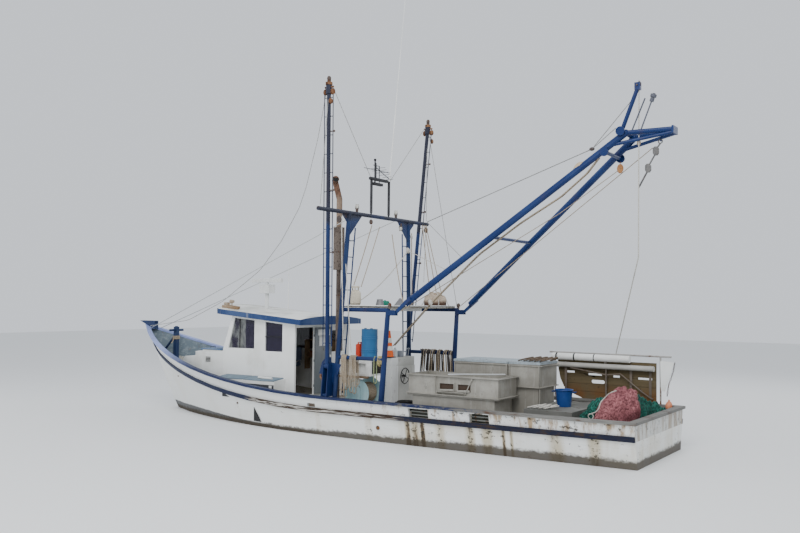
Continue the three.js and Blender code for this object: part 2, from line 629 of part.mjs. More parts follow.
// Canopy: a thin flat roof lying on the two upper bars, narrower where it passes the mast.
const CANOPY = { thickness: 45, half: 1520, noseHalf: 1120, aft: -2140, mast: -880, front: -600 };
const canopyBottom = GALLOWS.upper + GALLOWS.bar - 8;
const canopyPlan = [
  [CANOPY.aft, -CANOPY.half], [CANOPY.mast, -CANOPY.half], [CANOPY.mast, -CANOPY.noseHalf],
  [CANOPY.front, -CANOPY.noseHalf], [CANOPY.front, CANOPY.noseHalf], [CANOPY.mast, CANOPY.noseHalf],
  [CANOPY.mast, CANOPY.half], [CANOPY.aft, CANOPY.half],
];
const canopy = planPlate(canopyPlan, [canopyBottom, canopyBottom + CANOPY.thickness]);
const gallowsGrown = [1, -1].flatMap((side) => [gallowsBar(side, GAP), gallowsPost(side, GAP)]);
add('canopy', cut(canopy, gallowsGrown), 'house_paint');

// Exhaust stack: pipe from the deck, silencer, pipe and a turned-forward mouth.
const STACK = { x: 50, y: 600 };
const stack = fuse([
  bar([STACK.x, STACK.y, DECK_AFT_HEIGHT], [STACK.x, STACK.y, 4050], 60, 12),
  bar([STACK.x, STACK.y, 4000], [STACK.x, STACK.y, 5080], 140, 14),
  bentBar([[STACK.x, STACK.y, 5050], [STACK.x, STACK.y, 5800], [STACK.x + 160, STACK.y, 6330]], 75, 12),
]);
add('exhaust_stack', stack.subtract(belowDeck), 'rusty');

// Outriggers: a heel bracket with a pin on each rail, and a pole with side rods and rungs.
const HEEL = { x: -520, y: 1750, z: 1660, pin: 25 };
const POLES = [
  { name: 'port', side: 1, tip: [-470, 1750, 8440], rods: [-130, 130] },
  { name: 'starboard', side: -1, tip: [-490, -2790, 8200], rods: [-130] },
];
for (const { name, side, tip, rods } of POLES) {
  const y = side * HEEL.y;
  const rail = railHeight(HEEL.x) - 40;
  const wide = [[y - side * 170, rail], [y + side * 130, rail], [y + side * 60, 1720], [y - side * 60, 1720], [y - side * 230, 1300]];
  const plate = side > 0 ? wide : [...wide].reverse();
  const bracket = fuse([
    crossPlate(plate, [HEEL.x - 85, HEEL.x - 63]),
    crossPlate(plate, [HEEL.x + 63, HEEL.x + 85]),
    box([HEEL.x - 85, HEEL.x + 85], side > 0 ? [y - 150, y + 100] : [y - 100, y + 150], [rail, rail + 110]),
    bar([HEEL.x - 84, y, HEEL.z], [HEEL.x + 84, y, HEEL.z], HEEL.pin, PIN_SIDES),
  ]);
  add(`heel_bracket_${name}`, bracket.subtract(belowRail), 'blue_steel');
  const heel = new THREE.Vector3(HEEL.x, y, HEEL.z);
  const along = new THREE.Vector3(...tip).sub(heel);
  const at = (share, offset = 0) => {
    const point = heel.clone().addScaledVector(along, share);
    return [point.x + offset, point.y, point.z];
  };
  const parts = [bar(at(0), tip, 50, 12)];
  for (const offset of rods) {
    parts.push(bar(at(0.07, offset), at(0.97, offset), 12, 6));
    for (let rung = 0; rung < 14; rung += 1) {
      parts.push(bar(at(0.08 + rung * 0.067, 0), at(0.08 + rung * 0.067, offset), 9, 6));
    }
  }
  parts.push(bar(at(0.965), at(1.0), 75, 12));
  const eye = bar([HEEL.x - 58, y, HEEL.z], [HEEL.x + 58, y, HEEL.z], 62, 16);
  const bore = bar([HEEL.x - 90, y, HEEL.z], [HEEL.x + 90, y, HEEL.z], boreFor(HEEL.pin), PIN_SIDES);
  add(`outrigger_${name}`, fuse([...parts, eye]).subtract(bore), 'blue_steel');
}

// Boom: two pipes that come together aft, cross tubes with end discs, a level head
// with a lower brace each side, and an upward spike that carries a sheave.
const KNEE = { x: -7300, y: 300, z: 6820 };
const HEAD = { x: -8240, y: 90, z: 6850, braceZ: 6790 };
const SPIKE = { foot: [-7230, 330, 6880], tip: [-7560, 300, 7760], radius: 45 };
const between = (from, to, share) => from + (to - from) * share;
const boomAt = (share, side, lift = 0) => [
  between(BOOM_PIN.x, KNEE.x, share),
  side * between(GALLOWS.y, KNEE.y, share),
  between(BOOM_PIN.z, KNEE.z, share) + lift,
];
const lugShape = [[-40, -40], [40, -40], [40, 40], [-40, 45], [-420, 375], [-460, 295]];
const boomParts = [];
for (const side of [1, -1]) {
  const knee = [KNEE.x, side * KNEE.y, KNEE.z];
  const y = side * GALLOWS.y;
  boomParts.push(bar(boomAt(0.055, side), knee, 75, 12));
  boomParts.push(bar(knee, [HEAD.x, side * HEAD.y, HEAD.z], 55, 12));
  boomParts.push(bar(boomAt(0.955, side, -60), [HEAD.x, side * HEAD.y, HEAD.braceZ], 38, 10));
  const ball = new THREE.SphereGeometry(78, 12, 8);
  ball.translate(...knee);
  boomParts.push(solid(ball));
  boomParts.push(sidePlate(lugShape.map(([x, z]) => [BOOM_PIN.x + x, BOOM_PIN.z + z]), [y - 27, y + 27]));
}
boomParts.push(bar(boomAt(0.44, 1), boomAt(0.44, -1), 38, 10));
// Cross tubes near the head: [share of the pipe's length, lift above the pipe's axis].
for (const [share, lift] of [[0.92, -85], [0.985, 85]]) {
  const [x, y, z] = boomAt(share, 1, lift);
  const discs = [y + 95, y + 135];
  boomParts.push(bar([x, discs[0], z], [x, -discs[0], z], 42, 10));
  for (const side of [1, -1]) boomParts.push(bar([x, side * discs[0], z], [x, side * discs[1], z], 98, 16));
}
boomParts.push(box([HEAD.x - 20, HEAD.x + 20], [-165, 165], [6760, 6915]));
boomParts.push(bar(SPIKE.foot, SPIKE.tip, SPIKE.radius, 10));
boomParts.push(box([SPIKE.tip[0] - 60, SPIKE.tip[0] + 60], [SPIKE.tip[1] - 50, SPIKE.tip[1] + 50], [7700, 7860]));
const boomPinBores = [1, -1].map((side) => bar(
  [BOOM_PIN.x, side * GALLOWS.y - 60, BOOM_PIN.z],
  [BOOM_PIN.x, side * GALLOWS.y + 60, BOOM_PIN.z],
  boreFor(BOOM_PIN.radius),
  PIN_SIDES,
));
const TACKLE = { x: -7950, z: 6640, pin: 12, ring: 42, wire: 12, bar: 6830 };
boomParts.push(bar([TACKLE.x, -150, TACKLE.bar], [TACKLE.x, 150, TACKLE.bar], 28, 10));
boomParts.push(bar([TACKLE.x, -20, TACKLE.bar], [TACKLE.x, -20, TACKLE.z - 10], 16, 8));
boomParts.push(bar([TACKLE.x, -30, TACKLE.z], [TACKLE.x, 60, TACKLE.z], TACKLE.pin, 10));
add('boom', cut(fuse(boomParts), boomPinBores), 'blue_steel');

// Tackle: a ring, two blocks and a short chain, drawn forward by its falls.
const ringCentre = TACKLE.z + TACKLE.pin + 2 * GAP - (TACKLE.ring - TACKLE.wire);
const ring = new THREE.TorusGeometry(TACKLE.ring, TACKLE.wire, 8, 14);
ring.rotateX(Math.PI / 2);
ring.translate(TACKLE.x, 30, ringCentre);
const blockShape = (x, z) => sidePlate(
  [[-60, -50], [-30, -95], [30, -95], [60, -50], [60, 50], [25, 90], [-25, 90], [-60, 50]].map(([u, v]) => [x + u, z + v]),
  [0, 60],
);
const tackle = fuse([
  solid(ring),
  bar([TACKLE.x, 30, ringCentre - TACKLE.ring + 4], [TACKLE.x + 75, 30, 6480], 18, 8),
  blockShape(TACKLE.x + 95, 6430),
  bar([TACKLE.x + 110, 30, 6360], [TACKLE.x + 245, 30, 6130], 18, 6),
  blockShape(TACKLE.x + 260, 6080),
  bar([TACKLE.x + 275, 30, 6010], [TACKLE.x + 460, 30, 5680], 20, 6),
]);
add('boom_tackle', tackle, 'galvanised');

// Winch: a shaft on pedestals with a drum each side, and the power pack on top.
const WINCH = { x: -980, z: 1000, shaft: 38, barrel: 200, flange: 360 };
const pedestalSide = [[-1150, DECK_AFT_HEIGHT + GAP], [-810, DECK_AFT_HEIGHT + GAP], [-900, 1425], [-1060, 1425]];
const winchParts = [bar([WINCH.x, -1235, WINCH.z], [WINCH.x, 1235, WINCH.z], WINCH.shaft, PIN_SIDES)];
for (const y of [-1230, -590, 560, 1200]) winchParts.push(sidePlate(pedestalSide, [y, y + 30]));
winchParts.push(box([-1150, -800], [-565, 565], [DECK_AFT_HEIGHT + GAP, 1120]));
winchParts.push(bar([-1000, -1210, 1405], [-1000, 1210, 1405], 20, 10));
add('winch_stand', fuse(winchParts).subtract(belowDeck), 'rusty');
for (const [name, side] of [['port', 1], ['starboard', -1]]) {
  const y = (reach) => side * reach;
  const drum = fuse([
    bar([WINCH.x, y(600), WINCH.z], [WINCH.x, y(1190), WINCH.z], WINCH.barrel, 20),
    bar([WINCH.x, y(600), WINCH.z], [WINCH.x, y(622), WINCH.z], WINCH.flange, 28),
    bar([WINCH.x, y(1168), WINCH.z], [WINCH.x, y(1190), WINCH.z], WINCH.flange, 28),
  ]);
  const bore = bar([WINCH.x, y(500), WINCH.z], [WINCH.x, y(1300), WINCH.z], boreFor(WINCH.shaft), PIN_SIDES);
  add(`winch_drum_${name}`, drum.subtract(bore), 'light_blue');
}
const POWER = { x: [-1400, -560], y: [620, 1190], z: [1425 + GAP, 1830] };
const powerBox = box(POWER.x, POWER.y, POWER.z).subtract(box([-1250, -750], [1100, 1300], [1480, 1720]));
add('power_pack', powerBox, 'house_paint');
add('plastic_drum', bar([-1150, 900, POWER.z[1] + GAP], [-1150, 900, 2540], 195, 20), 'blue_plastic');

// Deck console with a handwheel on its after face.
const CONSOLE = { x: [-1560, -1260], half: 515, top: 1620 };
add('deck_console', box(CONSOLE.x, [-CONSOLE.half, CONSOLE.half], [DECK_AFT_HEIGHT + GAP, CONSOLE.top]), 'house_paint');
const HANDWHEEL = { x: -1640, y: 60, z: 1380, radius: 190 };
const handRim = new THREE.TorusGeometry(HANDWHEEL.radius, 12, 6, 18);
handRim.rotateY(Math.PI / 2);
handRim.translate(HANDWHEEL.x, HANDWHEEL.y, HANDWHEEL.z);
const handSpokes = [0, 1].map((index) => {
  const reach = [Math.cos(index * Math.PI / 2 + 0.5) * 190, Math.sin(index * Math.PI / 2 + 0.5) * 190];
  return bar(
    [HANDWHEEL.x, HANDWHEEL.y - reach[0], HANDWHEEL.z - reach[1]],
    [HANDWHEEL.x, HANDWHEEL.y + reach[0], HANDWHEEL.z + reach[1]],
    9,
    8,
  );
});
const handHub = bar([CONSOLE.x[0] - GAP, HANDWHEEL.y, HANDWHEEL.z], [HANDWHEEL.x - 15, HANDWHEEL.y, HANDWHEEL.z], 26, 12);
add('deck_wheel', fuse([solid(handRim), ...handSpokes, handHub]), 'black_rubber');

// Sorting boxes: open sheet-aluminium trays on closed lower boxes.
const floorZ = DECK_AFT_HEIGHT + GAP;
const portBox = cut(
  fuse([
    box([-4700, -2600], [350, 1210], [floorZ, 1100]),
    box([-4830, -2470], [300, 1260], [1090, 1135]),
    box([-4800, -2500], [330, 1230], [1120, 1570]),
  ]),
  [
    box([-4776, -2524], [354, 1206], [1160, 1600]),
    box([-4120, -3800], [1150, 1300], [1225, 1385]),
    box([-3710, -3330], [1150, 1300], [1225, 1385]),
  ],
);
add('sorting_box_port', portBox, 'aluminium');

// Fish boxes on the centreline: a two-tier box stands aft of the hold's box. Both are
// hollow shells with open bottoms, and the hold's box has an open top under a hinged lid.
const TIER = { y: [-720, 250], inset: 45, middle: 1340, top: 1830, lid: 1880, wall: 40 };
const tier = (x, inset, z) => box(
  [x[0] + inset, x[1] - inset],
  [TIER.y[0] + inset, TIER.y[1] - inset],
  z,
);
function fishBox(x, top) {
  const outside = [tier(x, TIER.inset, [floorZ, TIER.middle]), tier(x, 0, [TIER.middle - 40, top])];
  const inside = tier(x, TIER.inset + TIER.wall, [floorZ - 10, TIER.top - TIER.wall]);
  return cut(fuse(outside), [inside]);
}
const AFT_BOX = [-5320, -4580];
const HOLD_BOX = [-4540, -3150];
add('sorting_box_aft', fuse([
  fishBox(AFT_BOX, TIER.top),
  tier(AFT_BOX, -15, [TIER.top - 5, TIER.lid]),
]), 'aluminium');
const holdMouth = tier(HOLD_BOX, TIER.inset + TIER.wall, [1200, 2000]);
add('hold_coaming', fishBox(HOLD_BOX, TIER.top).subtract(holdMouth), 'aluminium');
add('hold_lid', fuse([
  tier([HOLD_BOX[0] + 5, HOLD_BOX[1]], -15, [TIER.top + GAP, TIER.lid]),
  bar([-3950, 120, TIER.lid + 5], [-3750, 120, TIER.lid + 5], 20, 8),
]), 'grey_paint');

// Raised grating aft of the boxes, on which tubs and rope are stowed.
add('aft_hatch', box([-6450, -5360], [-800, 1150], [floorZ, 960]), 'grey_paint');

// Trawl board standing on the starboard rail, its rack, and the pipes lashed to the rack.
// They follow the rail's line in plan, so they are built parallel to X and then turned.
const RACK = { x: -6150, top: 2020, posts: [-4850, -6150, -7450], inboard: 85, turn: -2.2 };
const railSide = -railHalf(RACK.x);
const rackLine = railSide + RACK.inboard;
const capTop = RAIL_AFT_HEIGHT + GAP;
function alongRail(shape) {
  return shape.translate([-RACK.x, -railSide, 0]).rotate([0, 0, RACK.turn]).translate([RACK.x, railSide, 0]);
}
const boardSide = [
  [-4920, 1600], [-4965, 1400], [-5060, 1200], [-5250, 1060], [-5560, capTop], [-7330, capTop], [-7330, 1860],
  [-4900, 1860],
];
// Its slots: [middle, half length, height], and one wider hole for the warp.
const boardSlots = [[-5235, 105, 1560], [-5855, 175, 1525], [-6385, 85, 1505], [-7070, 170, 1490]]
  .map(([x, half, z]) => box([x - half, x + half], [-2200, -1500], [z - 24, z + 24]));
const holeEnd = (x) => bar([x, -2200, 1355], [x, -1500, 1355], 42, 14);
const warpHole = fuse([holeEnd(-5800), holeEnd(-6060), box([-6060, -5800], [-2200, -1500], [1313, 1397])]);
const board = cut(sidePlate(boardSide, [railSide - 5, railSide + 50]), [...boardSlots, warpHole]);
add('trawl_board', alongRail(board), 'board_wood');
const rack = fuse([
  bar([-4700, rackLine, RACK.top], [-7700, rackLine, RACK.top], 20, 10),
  ...RACK.posts.map((x) => bar([x, rackLine, 900], [x, rackLine, RACK.top], 20, 10)),
  ...RACK.posts.slice(0, 2).map((x) => box([x - 25, x + 25], [railSide + 50 + GAP, rackLine], [1760, 1790])),
  ...RACK.posts.slice(0, 2).map((x) => box([x - 20, x + 20], [rackLine, rackLine + 60], [1700, 1960])),
]);
// Pipes: [forward end, after end, height, radius, finish].
const PIPES = {
  white_pipe: [-4830, -6770, 1930, 82, 'white_plastic'],
  grey_pipe: [-4840, -7330, 1735, 62, 'grey_paint'],
};
const pipeLine = (radius) => rackLine + 24 + radius;
const pipeBar = ([forward, aft, z, radius], grow) => bar(
  [forward + grow, pipeLine(radius), z],
  [aft - grow, pipeLine(radius), z],
  radius + grow,
  14,
);
const pipeSeats = Object.values(PIPES).map((row) => pipeBar(row, GAP));
add('trawl_rack', alongRail(cut(rack, pipeSeats)).subtract(belowRail), 'galvanised');
for (const [name, row] of Object.entries(PIPES)) add(name, alongRail(pipeBar(row, 0)), row[4]);

// Net heap on the after deck: three soft mounds run together.
// [middle, radii].
const MOUNDS = [
  [[-7370, 660, 620], [450, 480, 980]],
  [[-7380, 0, 620], [400, 900, 660]],
  [[-6950, 560, 620], [430, 560, 580]],
];
const mounds = MOUNDS.map(([middle, radii]) => {
  const mound = new THREE.SphereGeometry(1, 16, 8);
  mound.scale(...radii);
  mound.translate(...middle);
  return solid(mound);
});
add('net_heap', fuse(mounds).subtract(box([-9000, 0], [-3000, 3000], [-1000, floorZ])), 'net');

// Forestays from the crossbar ends to the bow.
for (const [name, side] of [['port', 1], ['starboard', -1]]) {
  const top = [MAST.x + 50, side * 900, MAST.top + 20];
  const foot = [7560, side * 200, railHeight(7560) - 10];
  const crossbar = bar([MAST.x, 2600, MAST.top], [MAST.x, -2600, MAST.top], 50 + GAP, 12);
  add(`forestay_${name}`, cut(bar(top, foot, 10, 6), [crossbar, belowRail]), 'galvanised');
}

export default boat;
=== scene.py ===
from math import cos, pi, radians, sin

import bmesh
import bpy
from mathutils import Matrix, Vector
from mathutils.bvhtree import BVHTree


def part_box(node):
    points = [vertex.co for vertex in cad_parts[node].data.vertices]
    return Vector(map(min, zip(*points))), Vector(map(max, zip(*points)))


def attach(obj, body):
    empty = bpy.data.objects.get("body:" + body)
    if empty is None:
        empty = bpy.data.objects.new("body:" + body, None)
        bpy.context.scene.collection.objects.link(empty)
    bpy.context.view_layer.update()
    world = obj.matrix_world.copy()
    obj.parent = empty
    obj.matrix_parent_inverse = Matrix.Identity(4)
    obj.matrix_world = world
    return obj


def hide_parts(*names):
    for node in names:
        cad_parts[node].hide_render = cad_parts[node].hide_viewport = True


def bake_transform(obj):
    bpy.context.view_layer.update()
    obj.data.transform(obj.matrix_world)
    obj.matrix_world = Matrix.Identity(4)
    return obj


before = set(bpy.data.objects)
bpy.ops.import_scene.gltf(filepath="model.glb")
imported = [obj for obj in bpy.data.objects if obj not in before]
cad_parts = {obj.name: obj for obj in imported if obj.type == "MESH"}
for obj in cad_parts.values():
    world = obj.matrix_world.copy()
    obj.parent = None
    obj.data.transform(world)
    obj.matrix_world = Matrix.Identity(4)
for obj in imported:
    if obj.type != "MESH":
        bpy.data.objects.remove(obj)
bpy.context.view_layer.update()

scene = bpy.context.scene

# The eye stands off the port quarter, a little above the wheelhouse roof's height.
# The lens gives the angle of view of an 800 by 533 frame.
FRAME_WIDTH_PX = 800
FOCAL_PX = 863.1
EYE = Vector((-13.31, 18.03, 3.22))
YAW, PITCH, ROLL = 0.583, 0.0402, 0.0097

eye = bpy.data.cameras.new("eye")
eye.sensor_width = 36.0
eye.lens = FOCAL_PX * eye.sensor_width / FRAME_WIDTH_PX
eye.clip_end = 300.0
ahead = Vector((sin(YAW) * cos(PITCH), -cos(YAW) * cos(PITCH), sin(PITCH)))
level = Vector((-cos(YAW), -sin(YAW), 0.0))
upright = level.cross(ahead)
right = level * cos(ROLL) + upright * sin(ROLL)
up = upright * cos(ROLL) - level * sin(ROLL)
camera = bpy.data.objects.new("camera", eye)
camera.matrix_world = Matrix.Translation(EYE) @ Matrix((right, up, -ahead)).transposed().to_4x4()
scene.collection.objects.link(camera)
scene.camera = camera

# The floor lies at the height of the water that the boat floats in, pale and plain.
# Light is that of a bright overcast sky, with one broad lamp high on the port bow.
FLOOR_HALF = 60.0
floor_mesh = bmesh.new()
bmesh.ops.create_grid(floor_mesh, x_segments=1, y_segments=1, size=FLOOR_HALF)
floor_data = bpy.data.meshes.new("floor")
floor_mesh.to_mesh(floor_data)
floor_mesh.free()
floor = bpy.data.objects.new("floor", floor_data)
scene.collection.objects.link(floor)
floor_paint = bpy.data.materials.new("floor_paint")
floor_paint.use_nodes = True
floor_shader = floor_paint.node_tree.nodes["Principled BSDF"]
floor_shader.inputs["Base Color"].default_value = (0.78, 0.79, 0.79, 1)
floor_shader.inputs["Roughness"].default_value = 0.7
floor_data.materials.append(floor_paint)

world = bpy.data.worlds.new("overcast")
world.use_nodes = True
world.node_tree.nodes["Background"].inputs["Color"].default_value = (0.80, 0.84, 0.90, 1)
world.node_tree.nodes["Background"].inputs["Strength"].default_value = 1.08
scene.world = world
for name, place, size, power in (
    ("key", (-9.0, 15.0, 16.0), 12.0, 2900.0),
    ("fill", (14.0, 12.0, 10.0), 14.0, 900.0),
    ("back", (-8.0, -16.0, 14.0), 14.0, 900.0),
):
    light = bpy.data.lights.new(name, "AREA")
    light.size = size
    light.energy = power
    lamp = bpy.data.objects.new(name, light)
    lamp.location = place
    lamp.rotation_mode = "QUATERNION"
    lamp.rotation_quaternion = (Vector((0, 0, 2.0)) - Vector(place)).to_track_quat("-Z", "Y")
    scene.collection.objects.link(lamp)

# Hull and bulwark: white paint over planking. The paint is streaked with rust and
# grime below the freeing ports, and a band of growth runs along the waterline.


class Wire:
    """A shader socket. Sums and products of wires add Math nodes to their material."""

    def __init__(self, tree, socket=None):
        self.tree = tree
        self.socket = socket

    def node(self, kind, settings=None, sockets=None, output=0):
        """Adds a node: its settings first, then the values or wires of its sockets."""
        made = self.tree.nodes.new(kind)
        for name, value in (settings or {}).items():
            setattr(made, name, value)
        for key, value in (sockets or {}).items():
            if isinstance(value, Wire):
                self.tree.links.new(value.socket, made.inputs[key])
            else:
                made.inputs[key].default_value = value
        return Wire(self.tree, made.outputs[output])

    def sum(self, operation, first, second):
        return self.node("ShaderNodeMath", {"operation": operation}, {0: first, 1: second})

    def __add__(self, other):
        return self.sum("ADD", self, other)

    def __radd__(self, other):
        return self.sum("ADD", other, self)

    def __sub__(self, other):
        return self.sum("SUBTRACT", self, other)

    def __rsub__(self, other):
        return self.sum("SUBTRACT", other, self)

    def __mul__(self, other):
        return self.sum("MULTIPLY", self, other)

    def __rmul__(self, other):
        return self.sum("MULTIPLY", other, self)

    def __abs__(self):
        return self.sum("ABSOLUTE", self, 0.0)


def between(value, low, high):
    """Goes smoothly from 0 to 1 as the value goes from low to high."""
    return value.node(
        "ShaderNodeMapRange", {"interpolation_type": "SMOOTHSTEP"},
        {"Value": value, "From Min": low, "From Max": high},
    )


def cloud(place, scale, detail=4.0, stretch=(1, 1, 1), rough=0.55):
    """Noise from 0 to 1 over object coordinates, stretched along the axes."""
    spread = place.node("ShaderNodeMapping", None, {"Vector": place, "Scale": stretch})
    return place.node(
        "ShaderNodeTexNoise", None,
        {"Vector": spread, "Scale": scale, "Detail": detail, "Roughness": rough},
    )


def solid(colour):
    """A colour as a socket takes it: a wire stays as it is, and a plain one becomes opaque."""
    return colour if isinstance(colour, Wire) else (*colour, 1)


def tint(mask, under, over):
    """A colour that goes from one to another as the mask goes from 0 to 1."""
    shades = {0: mask, 6: solid(under), 7: solid(over)}
    return mask.node("ShaderNodeMix", {"data_type": "RGBA"}, shades, output=2)


def begin(name):
    """A new material, and the object coordinates in it."""
    material = bpy.data.materials.new(name)
    material.use_nodes = True
    material.node_tree.nodes.clear()
    place = Wire(material.node_tree).node("ShaderNodeTexCoord", output="Object")
    return material, place


def close(material, place, colour, roughness, metallic=0.0, height=None, depth=0.004, **fixed):
    """Joins colour, roughness and relief to a shader and the material's output."""
    sockets = {
        "Base Color": solid(colour), "Roughness": roughness, "Metallic": metallic,
        "Specular IOR Level": 0.2,
    }
    sockets.update({name.replace("_", " "): value for name, value in fixed.items()})
    if height is not None:
        relief = {"Height": height, "Distance": depth}
        sockets["Normal"] = place.node("ShaderNodeBump", None, relief)
    shader = place.node("ShaderNodeBsdfPrincipled", None, sockets)
    output = material.node_tree.nodes.new("ShaderNodeOutputMaterial")
    material.node_tree.links.new(shader.socket, output.inputs["Surface"])
    return material


def axis(place, name):
    """One coordinate of a place, as a wire."""
    return place.node("ShaderNodeSeparateXYZ", None, {0: place}, output=name)


def paint(material, *nodes):
    """Gives solids of the frame their finish."""
    for node in nodes:
        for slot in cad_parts[node].material_slots:
            slot.material = material


# Run-off below each scupper or fitting: [distance along the boat, half width, strength].
RUN_OFF = (
    (-2.80, 0.10, 0.9),
    (-3.00, 0.22, 0.75),
    (-3.20, 0.09, 1.0),
    (-3.65, 0.20, 0.6),
    (-4.38, 0.18, 0.7),
    (-4.78, 0.20, 0.6),
    (-5.16, 0.06, 0.95),
    (-5.34, 0.06, 0.7),
    (-6.30, 0.30, 0.6),
    (-7.10, 0.20, 0.6),
    (-1.75, 0.18, 0.5),
    (-0.25, 0.14, 0.45),
    (2.55, 0.10, 0.35),
)
WHITE = (0.80, 0.81, 0.79)
CREAM = (0.62, 0.58, 0.47)
OCHRE = (0.44, 0.36, 0.20)
RUST = (0.20, 0.085, 0.03)
GRIME = (0.035, 0.03, 0.022)
GROWTH = (0.075, 0.055, 0.035)
BOTTOM_RED = (0.16, 0.05, 0.035)
INSIDE_GREY = (0.12, 0.16, 0.19)


def hull_white():
    material, place = begin("hull_white")
    x, z = axis(place, "X"), axis(place, "Z")
    runs = cloud(place, 1.0, 5, (7.0, 7.0, 0.9), 0.65)
    specks = cloud(place, 9.0, 6, (1, 1, 1.4), 0.7)
    patches = cloud(place, 0.9, 3, (1, 1, 1.5))
    source = 0.0 * x
    for middle, width, strength in RUN_OFF:
        source = source + between(abs(x - middle), width, width * 0.15) * strength
    aft = between(x, 1.5, -4.5)
    drawn = cloud(place, 1.0, 4, (3.2, 3.2, 0.5), 0.6)
    below = between(z, 0.72, 0.58)
    ochre = between(source * 0.55 + drawn * 0.8 + aft * 0.16, 0.50, 0.98) * below
    streak = between(source * 0.52 + runs * 0.90 + aft * 0.05, 0.80, 1.02) * below
    black = between(specks * 0.86 + source * 0.12 + aft * 0.045 + patches * 0.12, 0.64, 0.69) * below
    dull = between(patches, 0.42, 0.72) * (0.22 + aft * 0.35)
    white = tint(ochre * 0.75, tint(dull, WHITE, CREAM), OCHRE)
    run_off = tint(specks, (0.028, 0.018, 0.010), (0.11, 0.055, 0.024))
    stained = tint(streak * 0.88, white, run_off)
    stained = tint(black * 0.9, stained, GRIME)
    ragged = z + (specks - 0.5) * 0.18 + (patches - 0.5) * 0.12 - aft * 0.07
    wet = between(ragged, 0.15, 0.07)
    boot_top = between(x, 0.5, 5.5) * 0.15 + 0.07
    boot = between(x, -1.0, 0.5) * between(z - boot_top - (specks - 0.5) * 0.05, 0.012, -0.012)
    stained = tint(boot * 0.9, stained, (0.02, 0.022, 0.026))
    stained = tint(wet * 0.92, stained, tint(specks, GRIME, GROWTH))
    under = between(z + (specks - 0.5) * 0.05, 0.01, -0.06)
    stained = tint(under, stained, tint(specks, BOTTOM_RED, GROWTH))
    seams = place.node(
        "ShaderNodeTexWave", {"bands_direction": "Z", "wave_profile": "SIN"},
        {"Vector": place, "Scale": 1.6, "Distortion": 0.6, "Detail": 1.0, "Detail Scale": 0.4},
    )
    height = specks * 0.4 + between(seams, 0.0, 0.06) * 0.6
    rough = 0.42 + streak * 0.3 + wet * 0.2
    return close(material, place, stained, rough, height=height, depth=0.0035)


def bulwark_white():
    material, place = begin("bulwark_white")
    x, y = axis(place, "X"), axis(place, "Y")
    facing = axis(place.node("ShaderNodeTexCoord", output="Normal"), "Y")
    inside = between(y * facing, 0.02, -0.02)
    runs = cloud(place, 1.0, 5, (6.0, 6.0, 1.2), 0.65)
    specks = cloud(place, 8.0, 6, (1, 1, 1.3), 0.7)
    aft = between(x, 1.0, -5.0)
    streak = between(runs + aft * 0.14, 0.58, 0.76) * (0.25 + aft * 0.65)
    black = between(specks + aft * 0.08, 0.64, 0.70) * (0.15 + aft * 0.75)
    outer = tint(black, tint(streak, WHITE, (0.36, 0.24, 0.12)), GRIME)
    inner = tint(between(specks, 0.45, 0.7), INSIDE_GREY, (0.23, 0.27, 0.29))
    inner = tint(aft, inner, tint(specks, (0.30, 0.30, 0.28), (0.48, 0.47, 0.44)))
    inner = tint(between(runs, 0.62, 0.8) * 0.7, inner, RUST)
    colour = tint(inside, outer, inner)
    return close(material, place, colour, 0.5 + streak * 0.2, height=specks, depth=0.003)


paint(hull_white(), "hull")
paint(bulwark_white(), "bulwark")

# Cap rail and rub rails: sawn timber, painted navy and bolted through the bulwark.
# The paint is pale with sun at the bow and worn through to bare grey wood at the stern.
NAVY = (0.010, 0.018, 0.066)
PERIWINKLE = (0.30, 0.37, 0.66)
WORN_GREY = (0.32, 0.32, 0.29)
BROWN_STAIN = (0.085, 0.045, 0.022)


def rail_blue():
    material, place = begin("rail_blue")
    x = axis(place, "X")
    grain = cloud(place, 1.0, 6, (2.0, 40.0, 40.0), 0.6)
    specks = cloud(place, 14.0, 6, (0.5, 1, 1), 0.7)
    patches = cloud(place, 1.3, 3)
    blue = tint(between(x, 4.0, 6.4), NAVY, PERIWINKLE)
    faded = tint(between(patches, 0.40, 0.70) * 0.3, blue, (0.045, 0.065, 0.13))
    trodden = between(x, 1.5, -2.5) * 0.10 + between(x, -3.0, -5.4) * 0.18
    bare = between(specks * 0.6 + grain * 0.4 + trodden, 0.60, 0.68)
    dry = tint(between(x, -3.0, -6.0), (0.17, 0.17, 0.16), WORN_GREY)
    wood = tint(grain, (0.060, 0.052, 0.045), dry)
    stained = tint(between(grain + patches, 1.10, 1.30) * between(x, 3.0, -1.0), wood, BROWN_STAIN)
    colour = tint(bare * 0.9, faded, stained)
    rough = 0.45 + bare * 0.35
    return close(material, place, colour, rough, height=grain + specks, depth=0.0025)


def rub_blue():
    material, place = begin("rub_blue")
    x = axis(place, "X")
    grain = cloud(place, 1.0, 6, (1.5, 30.0, 30.0), 0.6)
    specks = cloud(place, 7.0, 6, (0.7, 1, 1), 0.7)
    amidships = between(x, 2.6, 1.4) * between(x, -3.2, -1.8)
    aft = between(x, 2.0, -5.0)
    navy = tint(specks, (0.006, 0.010, 0.034), (0.014, 0.024, 0.070))
    navy = tint(aft * 0.55, navy, (0.012, 0.011, 0.014))
    bare = tint(specks, (0.022, 0.016, 0.013), (0.065, 0.042, 0.028))
    bare = tint(between(grain, 0.51, 0.60) * amidships, bare, (0.50, 0.48, 0.44))
    worn = between(specks * 0.5 + grain * 0.5 + amidships * 0.26 + aft * 0.10, 0.60, 0.70)
    colour = tint(worn, navy, bare)
    return close(material, place, colour, 0.55 + worn * 0.3, height=grain, depth=0.004)


paint(rail_blue(), "cap_rail")
paint(rub_blue(), "rub_rail_port", "rub_rail_starboard")

# Bow roller, samson post and stern bitts: welded steel pipe, painted blue over rust.
# Lines led over them have rubbed the paint away on their tops.
SOOT = (0.022, 0.022, 0.028)


